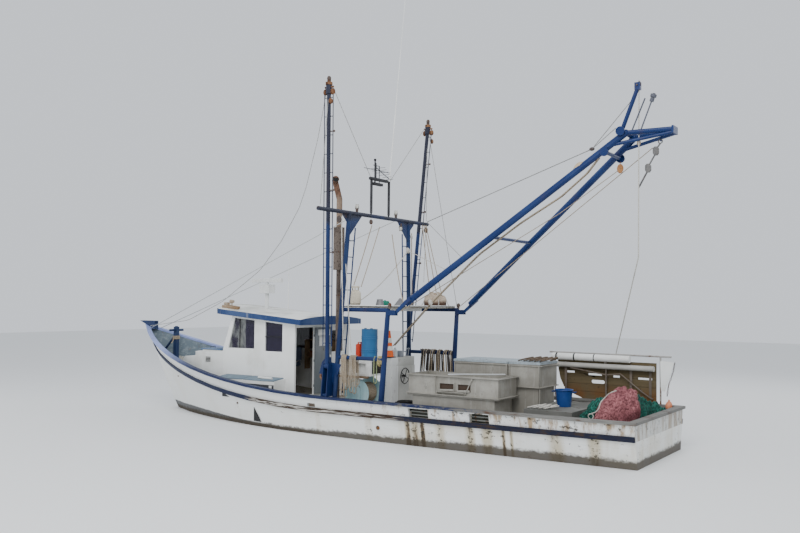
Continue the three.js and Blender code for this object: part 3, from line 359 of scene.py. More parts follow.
def worn_paint(
    name, colour, pale, under, wear, scale=6.0, rough=0.5, metallic=0.0, sooty_above=None,
):
    """Old paint: it fades in patches, steel or wood shows where it is worn, soot lies on top."""
    material, place = begin(name)
    specks = cloud(place, scale, 6, rough=0.72)
    patches = cloud(place, scale * 0.22, 3)
    runs = cloud(place, scale * 0.5, 4, (1.6, 1.6, 0.22))
    faded = tint(between(patches, 0.38, 0.68) * 0.7, colour, pale)
    if sooty_above:
        height = axis(place, "Z") + (patches - 0.5) * 0.8
        faded = tint(between(height, sooty_above - 0.1, sooty_above + 0.1) * 0.8, faded, SOOT)
    sound = 0.66 - wear * 0.26
    bare = between(specks * 0.6 + patches * 0.2 + runs * 0.2, sound, sound + 0.06)
    dirt = between(runs, 0.52, 0.74) * (0.25 + wear * 0.5)
    dark = tuple(value * 0.45 for value in under)
    colour = tint(bare, tint(dirt * 0.5, faded, under), tint(specks, dark, under))
    return close(material, place, colour, rough + bare * 0.3, metallic, specks, 0.0018)


steel_blue = worn_paint(
    "steel_blue", (0.014, 0.030, 0.085), (0.035, 0.060, 0.13), (0.10, 0.05, 0.028), 0.28,
)
rust_brown = worn_paint(
    "rust_brown", (0.13, 0.055, 0.028), (0.26, 0.14, 0.07), (0.05, 0.022, 0.014), 0.55, 9.0, 0.8,
)
paint(steel_blue, "bow_roller", "samson_post", "stern_bitt_port", "stern_bitt_starboard")


def settle(bm, name, material, body="root", sharp=34):
    """Makes a piece of a bmesh: closed, its faces outwards, smooth, riding on a body."""
    bmesh.ops.remove_doubles(bm, verts=bm.verts, dist=0.00005)
    bmesh.ops.recalc_face_normals(bm, faces=bm.faces)
    for face in bm.faces:
        face.smooth = True
    for edge in bm.edges:
        edge.smooth = edge.calc_face_angle(0.0) < radians(sharp)
    data = bpy.data.meshes.new(name)
    bm.to_mesh(data)
    bm.free()
    data.materials.append(material)
    piece = bpy.data.objects.new(name, data)
    scene.collection.objects.link(piece)
    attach(piece, body)
    return piece


def above(height):
    """A step straight up."""
    return Vector((0, 0, height))


def aimed(start, end):
    """A turn that lays the upright axis along a line."""
    return (end - start).to_track_quat("Z", "Y").to_matrix().to_4x4()


def rod(bm, start, end, radius, sides=10, end_radius=None):
    """Adds a round bar or a cone between two points."""
    start, end = Vector(start), Vector(end)
    shape = Matrix.Translation((start + end) / 2) @ aimed(start, end)
    bmesh.ops.create_cone(
        bm, cap_ends=True, segments=sides, radius1=radius,
        radius2=radius if end_radius is None else end_radius,
        depth=(end - start).length, matrix=shape,
    )


def block(bm, low, high, edge=0.004, turn=None):
    """Adds a box with eased edges between two corners, turned about its middle."""
    low, high = Vector(low), Vector(high)
    shape = Matrix.Translation((low + high) / 2) @ (turn or Matrix())
    made = bmesh.ops.create_cube(bm, size=1.0, matrix=shape @ Matrix.Diagonal((*(high - low), 1)))
    if edge:
        edges = list({edge_of for vert in made["verts"] for edge_of in vert.link_edges})
        bmesh.ops.bevel(
            bm, geom=edges, offset=edge, affect="EDGES", segments=2, profile=0.5, material=-1,
        )


def bar(bm, start, end, width, depth, edge=0.003, roll=0.0):
    """Adds a flat bar with eased edges between two points."""
    start, end = Vector(start), Vector(end)
    turn = aimed(start, end) @ Matrix.Rotation(roll, 4, "Z")
    middle, half = (start + end) / 2, Vector((width, depth, (end - start).length)) / 2
    block(bm, middle - half, middle + half, edge, turn)


def ball(bm, middle, radius, scale=(1, 1, 1), turn=None, rings=6):
    """Adds a ball, squeezed along its own axes."""
    place = Matrix.Translation(Vector(middle)) @ (turn or Matrix())
    bmesh.ops.create_uvsphere(
        bm, u_segments=rings * 2, v_segments=rings, radius=radius,
        matrix=place @ Matrix.Diagonal((*scale, 1)),
    )


def rope(name, runs, radius, material, body="root", smooth=True):
    """Makes wires or ropes of like thickness: each run is a list of points."""
    curve = bpy.data.curves.new(name, "CURVE")
    curve.dimensions = "3D"
    curve.bevel_depth = radius
    curve.bevel_resolution = 1
    curve.use_fill_caps = True
    curve.resolution_u = 4
    for run in runs:
        spline = curve.splines.new("NURBS" if smooth and len(run) > 2 else "POLY")
        spline.points.add(len(run) - 1)
        for point, place in zip(spline.points, run):
            point.co = (*place, 1)
        if spline.type == "NURBS":
            spline.order_u = 3
            spline.use_endpoint_u = True
    drawn = bpy.data.objects.new(name + "_drawn", curve)
    scene.collection.objects.link(drawn)
    bpy.context.view_layer.update()
    data = bpy.data.meshes.new_from_object(drawn)
    bpy.data.objects.remove(drawn)
    data.name = name
    data.materials.clear()
    data.materials.append(material)
    piece = bpy.data.objects.new(name, data)
    scene.collection.objects.link(piece)
    if body:
        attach(piece, body)
    return piece


def slack(start, end, sag, steps=8):
    """Points from one place to another, hanging by the sag at the middle."""
    start, end = Vector(start), Vector(end)
    shares = [step / steps for step in range(steps + 1)]
    return [start.lerp(end, share) - above(4 * sag * share * (1 - share)) for share in shares]


def stranded(name, light, dark, pitch=55.0, rough=0.8, metallic=0.0):
    """Laid rope or wire: light strands with dark lays between them, the dark of the lays painted shade in
    the grooves, and some grime in the same dark.
    """
    material, place = begin(name)
    lay = place.node(
        "ShaderNodeTexWave", {"bands_direction": "DIAGONAL"},
        {"Vector": place, "Scale": pitch, "Distortion": 0.4, "Detail": 1.0},
    )
    grime = cloud(place, 3.0, 5)
    # The lays take the dark colour as painted shade between the strands, and grime takes it too.
    colour = tint(between(grime, 0.5, 0.75) * 0.6, tint(lay, dark, light), dark)
    return close(material, place, colour, rough, metallic, lay, 0.002)


wire_grey = stranded("wire_grey", (0.52, 0.52, 0.50), (0.20, 0.19, 0.18), 90.0, 0.5, 0.6)
rope_buff = stranded("rope_buff", (0.52, 0.44, 0.33), (0.20, 0.15, 0.10))
rope_white = stranded("rope_white", (0.74, 0.72, 0.66), (0.34, 0.32, 0.28))
rope_dark = stranded("rope_dark", (0.13, 0.11, 0.10), (0.03, 0.03, 0.03))

# The samson post's crown, and turns of mooring rope about the post with their tail.
POST_X = 6.61
TURN_REACH = 0.098
TURN_PITCH = 0.026
gear = bmesh.new()
rod(gear, (POST_X, 0.0, 2.388), (POST_X, 0.0, 2.41), 0.055, 16, 0.04)
settle(gear, "samson_post_pin", steel_blue)
turns = []
for turn in range(4):
    winding = []
    for step in range(17):
        angle = step * pi / 8
        height = 2.02 + turn * TURN_PITCH + step * 0.0016
        winding.append((POST_X + TURN_REACH * cos(angle), TURN_REACH * sin(angle), height))
    turns.append(winding)
turns.append(slack((POST_X, 0.10, 2.05), (6.35, 0.42, 1.93), 0.03))
rope("samson_post_turns", turns, 0.013, rope_buff)

# Deck: softwood planks laid fore and aft, painted grey-buff and trodden bare, with mud
# and rust in the low corners. The freeing ports carry two loose steel flap bars each.


def seams(value, pitch, width):
    """1 in a narrow line at every pitch, 0 between the lines."""
    part = value.sum("FRACT", value * (1.0 / pitch), 0.0)
    share = width / pitch
    return between(abs(part - 0.5), 0.5 - share, 0.5 - share * 0.4)


def deck_planks():
    material, place = begin("deck_planks")
    y = axis(place, "Y")
    gaps = seams(y, 0.105, 0.011)
    grain = cloud(place, 1.0, 5, (1.6, 30, 30), 0.6)
    specks = cloud(place, 6.0, 6, (0.7, 1, 1), 0.7)
    patches = cloud(place, 0.8, 4)
    bare = between(specks * 0.5 + patches * 0.5, 0.44, 0.58)
    wood = tint(grain, (0.13, 0.10, 0.075), (0.33, 0.28, 0.22))
    colour = tint(bare, (0.40, 0.39, 0.34), wood)
    mud = between(patches * 0.6 + specks * 0.4 + between(abs(y), 0.9, 1.6) * 0.12, 0.56, 0.70)
    colour = tint(mud * 0.7, colour, (0.10, 0.06, 0.035))
    colour = tint(gaps, colour, (0.02, 0.018, 0.015))
    rough = 0.8 - bare * 0.1
    return close(material, place, colour, rough, height=grain * 0.3 - gaps, depth=0.004)


paint(deck_planks(), "deck")


def solid_skin(*nodes):
    """A search tree over solids of the frame, to set a piece down on their surface."""
    points, faces = [], []
    for data in (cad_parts[node].data for node in nodes):
        faces += [[corner + len(points) for corner in face.vertices] for face in data.polygons]
        points += [vert.co for vert in data.vertices]
    return BVHTree.FromPolygons(points, faces)


def meets(tree, start, way):
    """The point where a line from the start first meets the surface."""
    return tree.ray_cast(Vector(start), Vector(way).normalized())[0]


# Each port: [after end, forward end, height of its lower bar].
PORTS = ((-4.86, -4.39, 0.705), (-3.38, -2.88, 0.705), (-0.22, 0.02, 0.83))
ABEAM = 4.0
planking = solid_skin("hull", "bulwark")


def side_of_hull(x, z, side):
    """The point of the planking at a distance along the boat and a height."""
    return meets(planking, (x, side * ABEAM, z), (0, -side, 0))


def along_port(port, side, out, rise):
    """The two ends of a bar along a port, out from the planking and above its lower bar."""
    aft, forward, height = port
    ends = [side_of_hull(x, height - 0.34, side) for x in (aft, forward)]
    return [(point.x, point.y + side * out, height + rise) for point in ends]


flaps = bmesh.new()
shades = bmesh.new()
for side in (1, -1):
    for port in PORTS:
        for rise in (0.0, 0.075):
            bar(flaps, *along_port(port, side, 0.004, rise), 0.018, 0.026)
    # Behind the two after ports on each side stands a dark flap plate. Its near-black is the flap's dark
    # paint and painted shade for the recess of the port.
    for port in PORTS[:2]:
        bar(shades, *along_port(port, side, -0.045, 0.035), 0.010, 0.185)
flap_steel = worn_paint("flap_steel", (0.17, 0.18, 0.16), (0.27, 0.27, 0.25), RUST, 0.5)
settle(flaps, "port_flap_bars", flap_steel)
flap_dark_and_shade = worn_paint("flap_dark_and_shade", (0.035, 0.035, 0.028), (0.08, 0.08, 0.06), GRIME, 0.5)
settle(shades, "port_flap_shades", flap_dark_and_shade)

# Scuppers and the engine's cooling outlet: short bronze pipes flush with the planking.
# Each outlet: [distance along the boat, height, radius].
OUTLETS = ((-0.14, 0.62, 0.035), (2.55, 0.55, 0.028), (-2.0, 0.33, 0.05), (5.48, 1.04, 0.022))
outlets = bmesh.new()
for x, z, radius in OUTLETS:
    for side in (1, -1):
        flush = side_of_hull(x, z, side)
        out = Vector((0, side, 0))
        rod(outlets, flush - out * 0.02, flush + out * 0.012, radius, 16)
outlet_bronze = worn_paint("outlet_bronze", (0.05, 0.03, 0.02), (0.10, 0.06, 0.04), RUST, 0.6)
settle(outlets, "hull_outlets", outlet_bronze)

# A tingle: a triangle of sheet lead tarred black, nailed over a sprung plank end.
tingle = bmesh.new()
corners = []
for x, z in ((1.72, 0.13), (2.01, 0.13), (1.90, 0.50)):
    corners.append(side_of_hull(x, z, 1) + Vector((0, 0.004, 0)))
tingle.faces.new([tingle.verts.new(corner) for corner in corners])
bmesh.ops.subdivide_edges(tingle, edges=list(tingle.edges), cuts=5, use_grid_fill=True)
bmesh.ops.solidify(tingle, geom=list(tingle.faces), thickness=0.006)
tarred_lead = worn_paint("tarred_lead", (0.018, 0.018, 0.02), (0.05, 0.05, 0.05), GRIME, 0.2)
settle(tingle, "hull_tingle", tarred_lead)

# Keel, rudder, stock and propeller: sawn oak and cast bronze under antifouling paint,
# which has a fur of weed on it. The propeller is polished where the water runs fast.


def bottom_red():
    material, place = begin("bottom_red")
    specks = cloud(place, 12.0, 6, rough=0.7)
    patches = cloud(place, 1.6, 4)
    weed = between(specks * 0.5 + patches * 0.5, 0.46, 0.60)
    colour = tint(weed, BOTTOM_RED, tint(specks, GRIME, GROWTH))
    return close(material, place, colour, 0.75, height=specks, depth=0.008)


def cast_bronze():
    material, place = begin("cast_bronze")
    patches = cloud(place, 9.0, 5)
    dull = between(patches, 0.42, 0.62)
    colour = tint(dull, (0.42, 0.25, 0.11), (0.13, 0.16, 0.11))
    return close(material, place, colour, 0.32 + dull * 0.35, 1.0 - dull * 0.7, patches, 0.003)


paint(bottom_red(), "keel", "rudder")
bronze = cast_bronze()
paint(bronze, "propeller")
rudder_straps = bmesh.new()
rod(rudder_straps, (-6.62, 0, -1.02), (-6.70, 0, -1.02), 0.05, 20, 0.02)
for height in (-0.66, -1.0, -1.34):
    for y in (0.036, -0.036):
        bar(rudder_straps, (-6.83, y, height), (-7.20, y, height), 0.05, 0.008)
settle(rudder_straps, "rudder_straps", bronze, "rudder")

# Trunk cabin: plywood on frames, its edges rounded over and painted white. A louvred
# vent is cut in each side, and a raised coaming with a sliding hatch lies on its top.


def house_white(name, dirt):
    """White gloss over old coats: cream where it has yellowed, with rust runs and scuffs."""
    material, place = begin(name)
    runs = cloud(place, 1.0, 5, (9.0, 9.0, 0.8), 0.6)
    specks = cloud(place, 16.0, 6, rough=0.7)
    patches = cloud(place, 1.4, 3)
    colour = tint(between(patches, 0.40, 0.66) * 0.7, (0.78, 0.79, 0.77), (0.62, 0.62, 0.58))
    colour = tint(between(runs, 0.58, 0.80) * dirt, colour, (0.34, 0.26, 0.17))
    chips = between(specks * 0.7 + runs * 0.3, 0.66, 0.72)
    colour = tint(chips * dirt * 1.6, colour, (0.12, 0.08, 0.06))
    relief = specks * 0.3 + runs * 0.2
    return close(material, place, colour, 0.42 + chips * 0.3, height=relief, depth=0.003)


paint(house_white("trunk_white", 0.30), "trunk_cabin")
hatch_blue = worn_paint("hatch_blue", (0.065, 0.13, 0.25), (0.15, 0.23, 0.35), (0.26, 0.24, 0.21), 0.28)
paint(hatch_blue, "trunk_hatch_lid")

VENT_X = 4.12
VENT_FOOT, VENT_HEAD = 1.53, 1.63
vents = bmesh.new()
vent_shade_plates = bmesh.new()
trunk_skin = solid_skin("trunk_cabin")
for side in (1, -1):
    foot, head = [
        meets(trunk_skin, (VENT_X, side * 3.0, z), (0, -side, 0)) for z in (VENT_FOOT, VENT_HEAD)
    ]
    for slat in range(3):
        middle = foot.lerp(head, 0.1 + slat * 0.4) + Vector((0, side * 0.008, 0))
        half = Vector((0.16, 0, 0))
        bar(vents, middle - half, middle + half, 0.014, 0.007, 0.002, 0.9 * side)
    # Behind the slats lies a near-black plate: painted shade for the dark inside of the vent.
    gap_out = Vector((0, side * 0.001, 0))
    bar(vent_shade_plates, foot.lerp(head, -0.15) + gap_out, foot.lerp(head, 1.15) + gap_out, 0.34, 0.004, 0)
    for x in (-0.17, 0.17):
        start, end = Vector((x, side * 0.006, -0.02)), Vector((x, side * 0.006, 0.02))
        bar(vents, foot + start, head + end, 0.02, 0.014)
settle(vents, "trunk_vents", house_white("vent_white", 0.8))
vent_painted_shade = worn_paint("vent_painted_shade", (0.03, 0.028, 0.025), (0.06, 0.055, 0.05), GRIME, 0.3)
settle(vent_shade_plates, "vent_shade_plates", vent_painted_shade)

# Hatch lid: a lifting handle of bent bar and two strap hinges are screwed on its top.
lid_low, lid_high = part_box("trunk_hatch_lid")
HANDLE_HALF = 0.09
fittings = bmesh.new()
front, hinge, lid_z = lid_high[0] - 0.05, lid_low[0] + 0.02, lid_high[2]
for y in (-HANDLE_HALF, HANDLE_HALF):
    rod(fittings, (front, y, lid_z - 0.002), (front, y, lid_z + 0.035), 0.007)
rod(fittings, (front, -HANDLE_HALF, lid_z + 0.033), (front, HANDLE_HALF, lid_z + 0.033), 0.007)
for y in (-0.3, 0.3):
    bar(fittings, (hinge, y, lid_z + 0.003), (hinge + 0.22, y, lid_z + 0.003), 0.006, 0.03, 0.002, pi / 2)
settle(fittings, "hatch_fittings", steel_blue, "trunk_lid")

# Side locker: a plywood box along the port side deck. Its two lids have sagged and
# weathered to a pale blue-grey, and dark battens show under their edges.
paint(house_white("locker_white", 0.55), "side_locker")
locker_low, locker_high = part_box("side_locker")
LOCKER_AFT = 1.33
LID_SLOPE = 0.134
LID_SAG = 0.008
lids = bmesh.new()
for aft, forward in ((LOCKER_AFT, 2.38), (2.41, 3.32)):
    block(lids, (aft, locker_low[1] + 0.02, locker_high[2] + 0.003),
          (forward, locker_high[1] + 0.01, locker_high[2] + 0.026), 0.008)
long_edges = [edge for edge in lids.edges if abs((edge.verts[0].co - edge.verts[1].co).x) > 0.3]
bmesh.ops.subdivide_edges(lids, edges=long_edges, cuts=6)
for vert in lids.verts:
    sag = LID_SAG * sin((vert.co.x - LOCKER_AFT) * pi / 1.05) ** 2
    vert.co.z -= LID_SLOPE * (vert.co.y - locker_low[1]) + sag * (vert.co.y > 1.4)
lid_paint = worn_paint(
    "locker_lid", (0.13, 0.185, 0.235), (0.22, 0.27, 0.30), (0.10, 0.08, 0.07), 0.30, 5.0, 0.6,
)
settle(lids, "locker_lids", lid_paint)
battens = bmesh.new()
block(battens, (1.32, locker_high[1] + 0.001, locker_low[2] + 0.02),
      (3.10, locker_high[1] + 0.012, locker_high[2] - 0.14), 0.003)
batten_dark = worn_paint("batten_dark", (0.020, 0.022, 0.026), (0.05, 0.05, 0.055), GRIME, 0.3)
settle(battens, "locker_battens", batten_dark)
tag = bmesh.new()
block(tag, (1.38, locker_high[1] + 0.011, locker_high[2] - 0.235),
      (1.47, locker_high[1] + 0.018, locker_high[2] - 0.155), 0.003)
settle(tag, "locker_tag", house_white("tag_white", 0.1))
tube = bmesh.new()
rod(tube, (1.50, 1.43, locker_high[2] + 0.012), (1.98, 1.40, locker_high[2] + 0.017), 0.03, 18)
pale_pipe = worn_paint("pale_pipe", (0.72, 0.72, 0.70), (0.60, 0.60, 0.56), GRIME, 0.1)
settle(tube, "locker_pipe", pale_pipe)

# Wheelhouse: a plywood and fibreglass cabin, its corners rounded, painted white inside
# and out. Windows are dark tinted glass in thick black rubber gaskets.
paint(house_white("house_outside", 0.22), "wheelhouse")


def tinted_glass():
    material, place = begin("tinted_glass")
    smears = cloud(place, 3.0, 5, (1, 1, 0.5))
    dusty = between(smears, 0.50, 0.72)
    colour = tint(dusty * 0.4, (0.016, 0.012, 0.032), (0.13, 0.10, 0.17))
    misted = between(axis(place, "X"), 2.71, 2.75) * between(smears, 0.36, 0.60) * 0.7
    colour = tint(misted, colour, (0.34, 0.36, 0.33))
    return close(material, place, colour, 0.05 + dusty * 0.2, Alpha=0.80, Coat_Weight=0.5)


paint(tinted_glass(), "windshield_glass", "side_glass_port", "side_glass_starboard")


def outline(corners, round_off):
    """Points round a closed shape, with its corners rounded."""
    corners = [Vector(corner) for corner in corners]
    points = []
    for at, corner in enumerate(corners):
        before, after = corners[at - 1], corners[(at + 1) % len(corners)]
        leave = corner.lerp(before, min(round_off / (corner - before).length, 0.45))
        enter = corner.lerp(after, min(round_off / (corner - after).length, 0.45))
        for share in (0.0, 0.25, 0.5, 0.75, 1.0):
            points.append(leave.lerp(corner, share).lerp(corner.lerp(enter, share), share))
    return points


def surround(bm, corners, out, wide, deep, round_off):
    """Adds a flat frame of a width along a closed shape, standing out from its plane."""
    out = Vector(out).normalized()
    face = bm.faces.new([bm.verts.new(point) for point in outline(corners, round_off)])
    face.normal_update()
    if face.normal.dot(out) < 0:
        face.normal_flip()
    rim = bmesh.ops.inset_region(bm, faces=[face], thickness=wide, use_even_offset=True)["faces"]
    bmesh.ops.delete(bm, geom=[face], context="FACES")
    bmesh.ops.solidify(bm, geom=rim, thickness=-deep)


def black_rubber(name, shade):
    """Rubber or moulded plastic gone dull black, with dust in its pores."""
    material, place = begin(name)
    specks = cloud(place, 22.0, 5)
    colour = tint(between(specks, 0.5, 0.7) * 0.5, (shade, shade, shade), (0.09, 0.09, 0.09))
    return close(material, place, colour, 0.65, height=specks, depth=0.001)


# Side windows: [low after, low forward, high forward, high after] as [x, z], and a mid bar.
SIDE_PANES = (
    (((2.385, 1.94), (3.325, 1.93), (3.10, 2.735), (2.385, 2.68)), (2.90, 1.935, 2.90, 2.72)),
    (((1.415, 1.89), (2.005, 1.89), (2.005, 2.65), (1.415, 2.60)), (1.415, 2.27, 2.005, 2.27)),
)
WALL_Y = 1.151
OVERLAP = 0.02
gasket = black_rubber("gasket_rubber", 0.018)
rubber = bmesh.new()
for side in (1, -1):
    for pane, (x0, z0, x1, z1) in SIDE_PANES:
        centre = sum(x for x, z in pane) / 4
        grown = []
        for x, z in pane:
            grown.append((
                x + (OVERLAP if x > centre else -OVERLAP), side * WALL_Y,
                z + (OVERLAP if z > 2.3 else -OVERLAP),
            ))
        surround(rubber, grown, (0, side, 0), 0.045, 0.014, 0.10)
        mid_y, roll = side * (WALL_Y - 0.003), pi / 2 * (x0 == x1)
        bar(rubber, (x0, mid_y, z0), (x1, mid_y, z1), 0.03, 0.016, 0.004, roll)
settle(rubber, "side_gaskets", gasket)

# Windshield: it leans aft, and its three panes have the same rubber gaskets. A wiper arm
# is parked on the port pane.
FOOT, TOP = Vector((3.515, 0, 1.90)), Vector((3.195, 0, 2.79))
lean = (TOP - FOOT).normalized()
front_out = Vector((lean.z, 0, -lean.x))
front = bmesh.new()
pane_foot, pane_top = FOOT + lean * 0.10 + front_out * 0.004, TOP - lean * 0.12 + front_out * 0.004
for low_y, high_y in ((-1.06, -0.40), (-0.33, 0.33), (0.40, 1.06)):
    low, high = Vector((0, low_y, 0)), Vector((0, high_y, 0))
    corners = (pane_foot + low, pane_foot + high, pane_top + high, pane_top + low)
    surround(front, corners, front_out, 0.04, 0.012, 0.08)
bar(front, FOOT + Vector((0.03, 0.95, 0.06)), FOOT + Vector((-0.03, 0.62, 0.42)), 0.012, 0.010)
settle(front, "windshield_gaskets", gasket)

# Roof: plywood under canvas, white on top. A deep blue fascia board runs along its edge.


def roof_finish():
    material, place = begin("roof_finish")
    facing = axis(place.node("ShaderNodeTexCoord", output="Normal"), "Z")
    edge = between(abs(facing), 0.75, 0.5)
    specks = cloud(place, 14.0, 6, rough=0.7)
    patches = cloud(place, 1.2, 4)
    runs = cloud(place, 1.0, 5, (8.0, 8.0, 0.8), 0.6)
    top = tint(between(patches, 0.42, 0.64), (0.76, 0.77, 0.75), (0.52, 0.53, 0.50))
    top = tint(between(specks * 0.5 + patches * 0.5, 0.58, 0.66) * 0.6, top, (0.22, 0.17, 0.12))
    blue = tint(between(patches, 0.40, 0.65), (0.016, 0.042, 0.130), (0.045, 0.080, 0.180))
    blue = tint(between(runs, 0.58, 0.74) * 0.5, blue, (0.50, 0.52, 0.52))
    return close(material, place, tint(edge, top, blue), 0.55, height=specks, depth=0.002)


paint(roof_finish(), "wheelhouse_roof")

# Door: a plywood slab on hinges, painted grey. A pale blank panel and a pull handle are
# screwed to its after face.
door_grey = worn_paint(
    "door_grey", (0.150, 0.168, 0.180), (0.21, 0.225, 0.235), (0.12, 0.10, 0.08), 0.22,
)
paint(door_grey, "wheelhouse_door")
door_low, door_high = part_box("wheelhouse_door")
door_x, door_y = door_low[:2]
panel = bmesh.new()
block(panel, (door_x - 0.008, door_y + 0.10, 2.30), (door_x + 0.001, door_high[1] - 0.12, 2.46), 0.003)
block(panel, (door_x - 0.020, door_y + 0.05, 1.62), (door_x + 0.001, door_y + 0.09, 1.78), 0.006)
settle(panel, "door_panel", house_white("door_white", 0.45), "door")

# Inside the wheelhouse: a helm seat on a steel post, shelves of ply along the starboard
# wall with boxes on them, and a chart board over the console.
SHELF_AFT, SHELF_FORWARD, SHELF_Y = 1.35, 2.35, -1.10
CONSOLE_TOP = 1.745
inside = bmesh.new()
for y, z in ((-0.86, 1.62), (-0.90, 2.10)):
    block(inside, (SHELF_AFT, SHELF_Y, z), (SHELF_FORWARD, y, z + 0.02), 0.003)
for x in (SHELF_AFT + 0.01, SHELF_FORWARD - 0.02):
    block(inside, (x, SHELF_Y, 1.30), (x + 0.02, -0.88, 2.12), 0.003)
chart_tilt = Matrix.Rotation(-0.02, 4, "Y")
block(inside, (2.86, -0.42, CONSOLE_TOP - 0.003), (3.22, 0.44, CONSOLE_TOP + 0.007), 0.003, chart_tilt)
shelf_wood = worn_paint("shelf_wood", (0.24, 0.15, 0.08), (0.34, 0.24, 0.15), GRIME, 0.2)
settle(inside, "cabin_shelves", shelf_wood)
stores = bmesh.new()
for x, wide, tall, z in (
    (1.45, 0.20, 0.20, 1.64), (1.72, 0.16, 0.28, 1.64), (1.98, 0.28, 0.16, 1.64),
    (1.50, 0.30, 0.14, 2.12), (1.92, 0.22, 0.22, 2.12),
):
    block(stores, (x, -1.08, z + 0.001), (x + wide, -0.93, z + tall), 0.012)
store_boxes = worn_paint("store_boxes", (0.30, 0.10, 0.06), (0.42, 0.34, 0.20), GRIME, 0.2)
settle(stores, "cabin_stores", store_boxes)
seat_post = bmesh.new()
seat_foot = Vector((2.12, 0.0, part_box("wheelhouse")[0][2] + 0.01))
rod(seat_post, seat_foot, (2.12, 0.0, 1.42), 0.035, 16)
rod(seat_post, seat_foot, seat_foot + above(0.02), 0.15, 24)
post_grey = worn_paint("seat_post", (0.10, 0.11, 0.12), (0.2, 0.2, 0.2), RUST, 0.2)
settle(seat_post, "helm_seat_post", post_grey)

# Helm seat: foam pads under seat vinyl, with the back held on two bars.
PAD_CROWN = 0.02
vinyl = worn_paint(
    "seat_vinyl", (0.045, 0.06, 0.10), (0.10, 0.12, 0.16), (0.16, 0.13, 0.10), 0.12, 20.0, 0.45,
)
for name, low, high in (
    ("helm_seat", (1.92, -0.21, 1.44), (2.32, 0.21, 1.53)),
    ("helm_back", (1.88, -0.20, 1.60), (1.95, 0.20, 1.95)),
):
    pad = bmesh.new()
    block(pad, low, high, 0)
    bmesh.ops.subdivide_edges(pad, edges=list(pad.edges), cuts=7, use_grid_fill=True)
    middle, half = (Vector(low) + Vector(high)) / 2, (Vector(high) - Vector(low)) / 2
    for vert in pad.verts:
        share = [(vert.co[way] - middle[way]) / half[way] for way in range(3)]
        for way in range(3):
            if abs(share[way]) > 0.99:
                crown = PAD_CROWN * (1 - share[way - 1] ** 2) * (1 - share[way - 2] ** 2)
                vert.co[way] += crown if share[way] > 0 else -crown
    cushion = settle(pad, name, vinyl, sharp=80)
    rounded = cushion.modifiers.new("rounded", "SUBSURF")
    rounded.levels = rounded.render_levels = 1
seat_bars = bmesh.new()
for y in (-0.12, 0.12):
    rod(seat_bars, (1.93, y, 1.45), (1.90, y, 1.62), 0.012)
settle(seat_bars, "helm_seat_bars", steel_blue)

# Helm: a console of painted ply, a wooden wheel and three screens in black cases.
paint(worn_paint("console_ply", (0.42, 0.40, 0.35), (0.54, 0.51, 0.45), GRIME, 0.15), "helm_console")
wheel_rim = worn_paint(
    "wheel_rim", (0.17, 0.09, 0.05), (0.26, 0.16, 0.09), (0.06, 0.04, 0.03), 0.15, 14.0, 0.35,
)
paint(wheel_rim, "helm_wheel")
screen_tilt = Matrix.Rotation(-0.12, 4, "Y")
screens = bmesh.new()
for y, wide, tall in ((-0.62, 0.36, 0.26), (0.30, 0.30, 0.22), (0.72, 0.20, 0.14)):
    low, high = (3.02, y, CONSOLE_TOP), (3.14, y + wide, CONSOLE_TOP + tall)
    block(screens, low, high, 0.012, screen_tilt)
settle(screens, "helm_screens", black_rubber("screen_black", 0.03))

# On the roof: a radar scanner on a mushroom pedestal, a whip aerial, and a rusty horn
# and searchlight on the fore edge, with two short planks left beside them.
plastic = worn_paint(
    "grey_white_plastic", (0.70, 0.71, 0.70), (0.56, 0.57, 0.56), (0.30, 0.27, 0.22), 0.12,
)
paint(plastic, "radar_pedestal", "radar_array")
whip_white = worn_paint("whip_white", (0.78, 0.78, 0.76), (0.62, 0.62, 0.60), GRIME, 0.08)
paint(whip_white, "roof_whip", "mast_whip")


def middle_of(node):
    """The middle of a solid's box."""
    low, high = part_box(node)
    return (Vector(low) + Vector(high)) / 2


seal = bmesh.new()
hub = middle_of("radar_array")
hub.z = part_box("radar_pedestal")[1][2] - 0.05
rod(seal, hub, hub + above(0.015), 0.125, 32)
settle(seal, "radar_seal", gasket)


def roof_top(x, y):
    """The height of the roof's upper face."""
    return meets(roof_skin, (x, y, 6.0), (0, 0, -1)).z


HORN_Y = 0.62
roof_skin = solid_skin("wheelhouse_roof")
horn = bmesh.new()
horn_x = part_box("wheelhouse_roof")[1][0] - 0.22
horn_foot = Vector((horn_x, HORN_Y, roof_top(horn_x, HORN_Y)))
rod(horn, horn_foot - above(0.002), horn_foot + above(0.08), 0.018)
rod(horn, horn_foot + Vector((-0.06, 0, 0.11)), horn_foot + Vector((0.05, 0, 0.11)), 0.04, 20, 0.055)
block(horn, horn_foot + Vector((-0.12, 0.18, -0.01)), horn_foot + Vector((0.02, 0.30, 0.09)), 0.015)
horn_buff = worn_paint("horn_buff", (0.34, 0.27, 0.20), (0.46, 0.40, 0.32), RUST, 0.5, 14.0)
settle(horn, "roof_horn", horn_buff)

PLANK_THICK = 0.036
planks = bmesh.new()
for x0, x1, y, wide in ((3.02, 3.62, 1.10, 0.10), (3.08, 3.55, 0.99, 0.09)):
    z = max(roof_top(min(x, 3.5), y) for x in (x0, (x0 + x1) / 2, x1)) + 0.004 + PLANK_THICK / 2
    tilt = roof_top(3.1, y) - roof_top(2.4, y)
    bar(planks, (x0, y, z - tilt * 0.6), (x1, y, z + tilt * 0.2), PLANK_THICK, wide, 0.004)
bare_plank = worn_paint(
    "bare_plank", (0.22, 0.14, 0.08), (0.38, 0.30, 0.22), (0.08, 0.05, 0.03), 0.4, 8.0, 0.8,
)
settle(planks, "roof_planks", bare_plank)

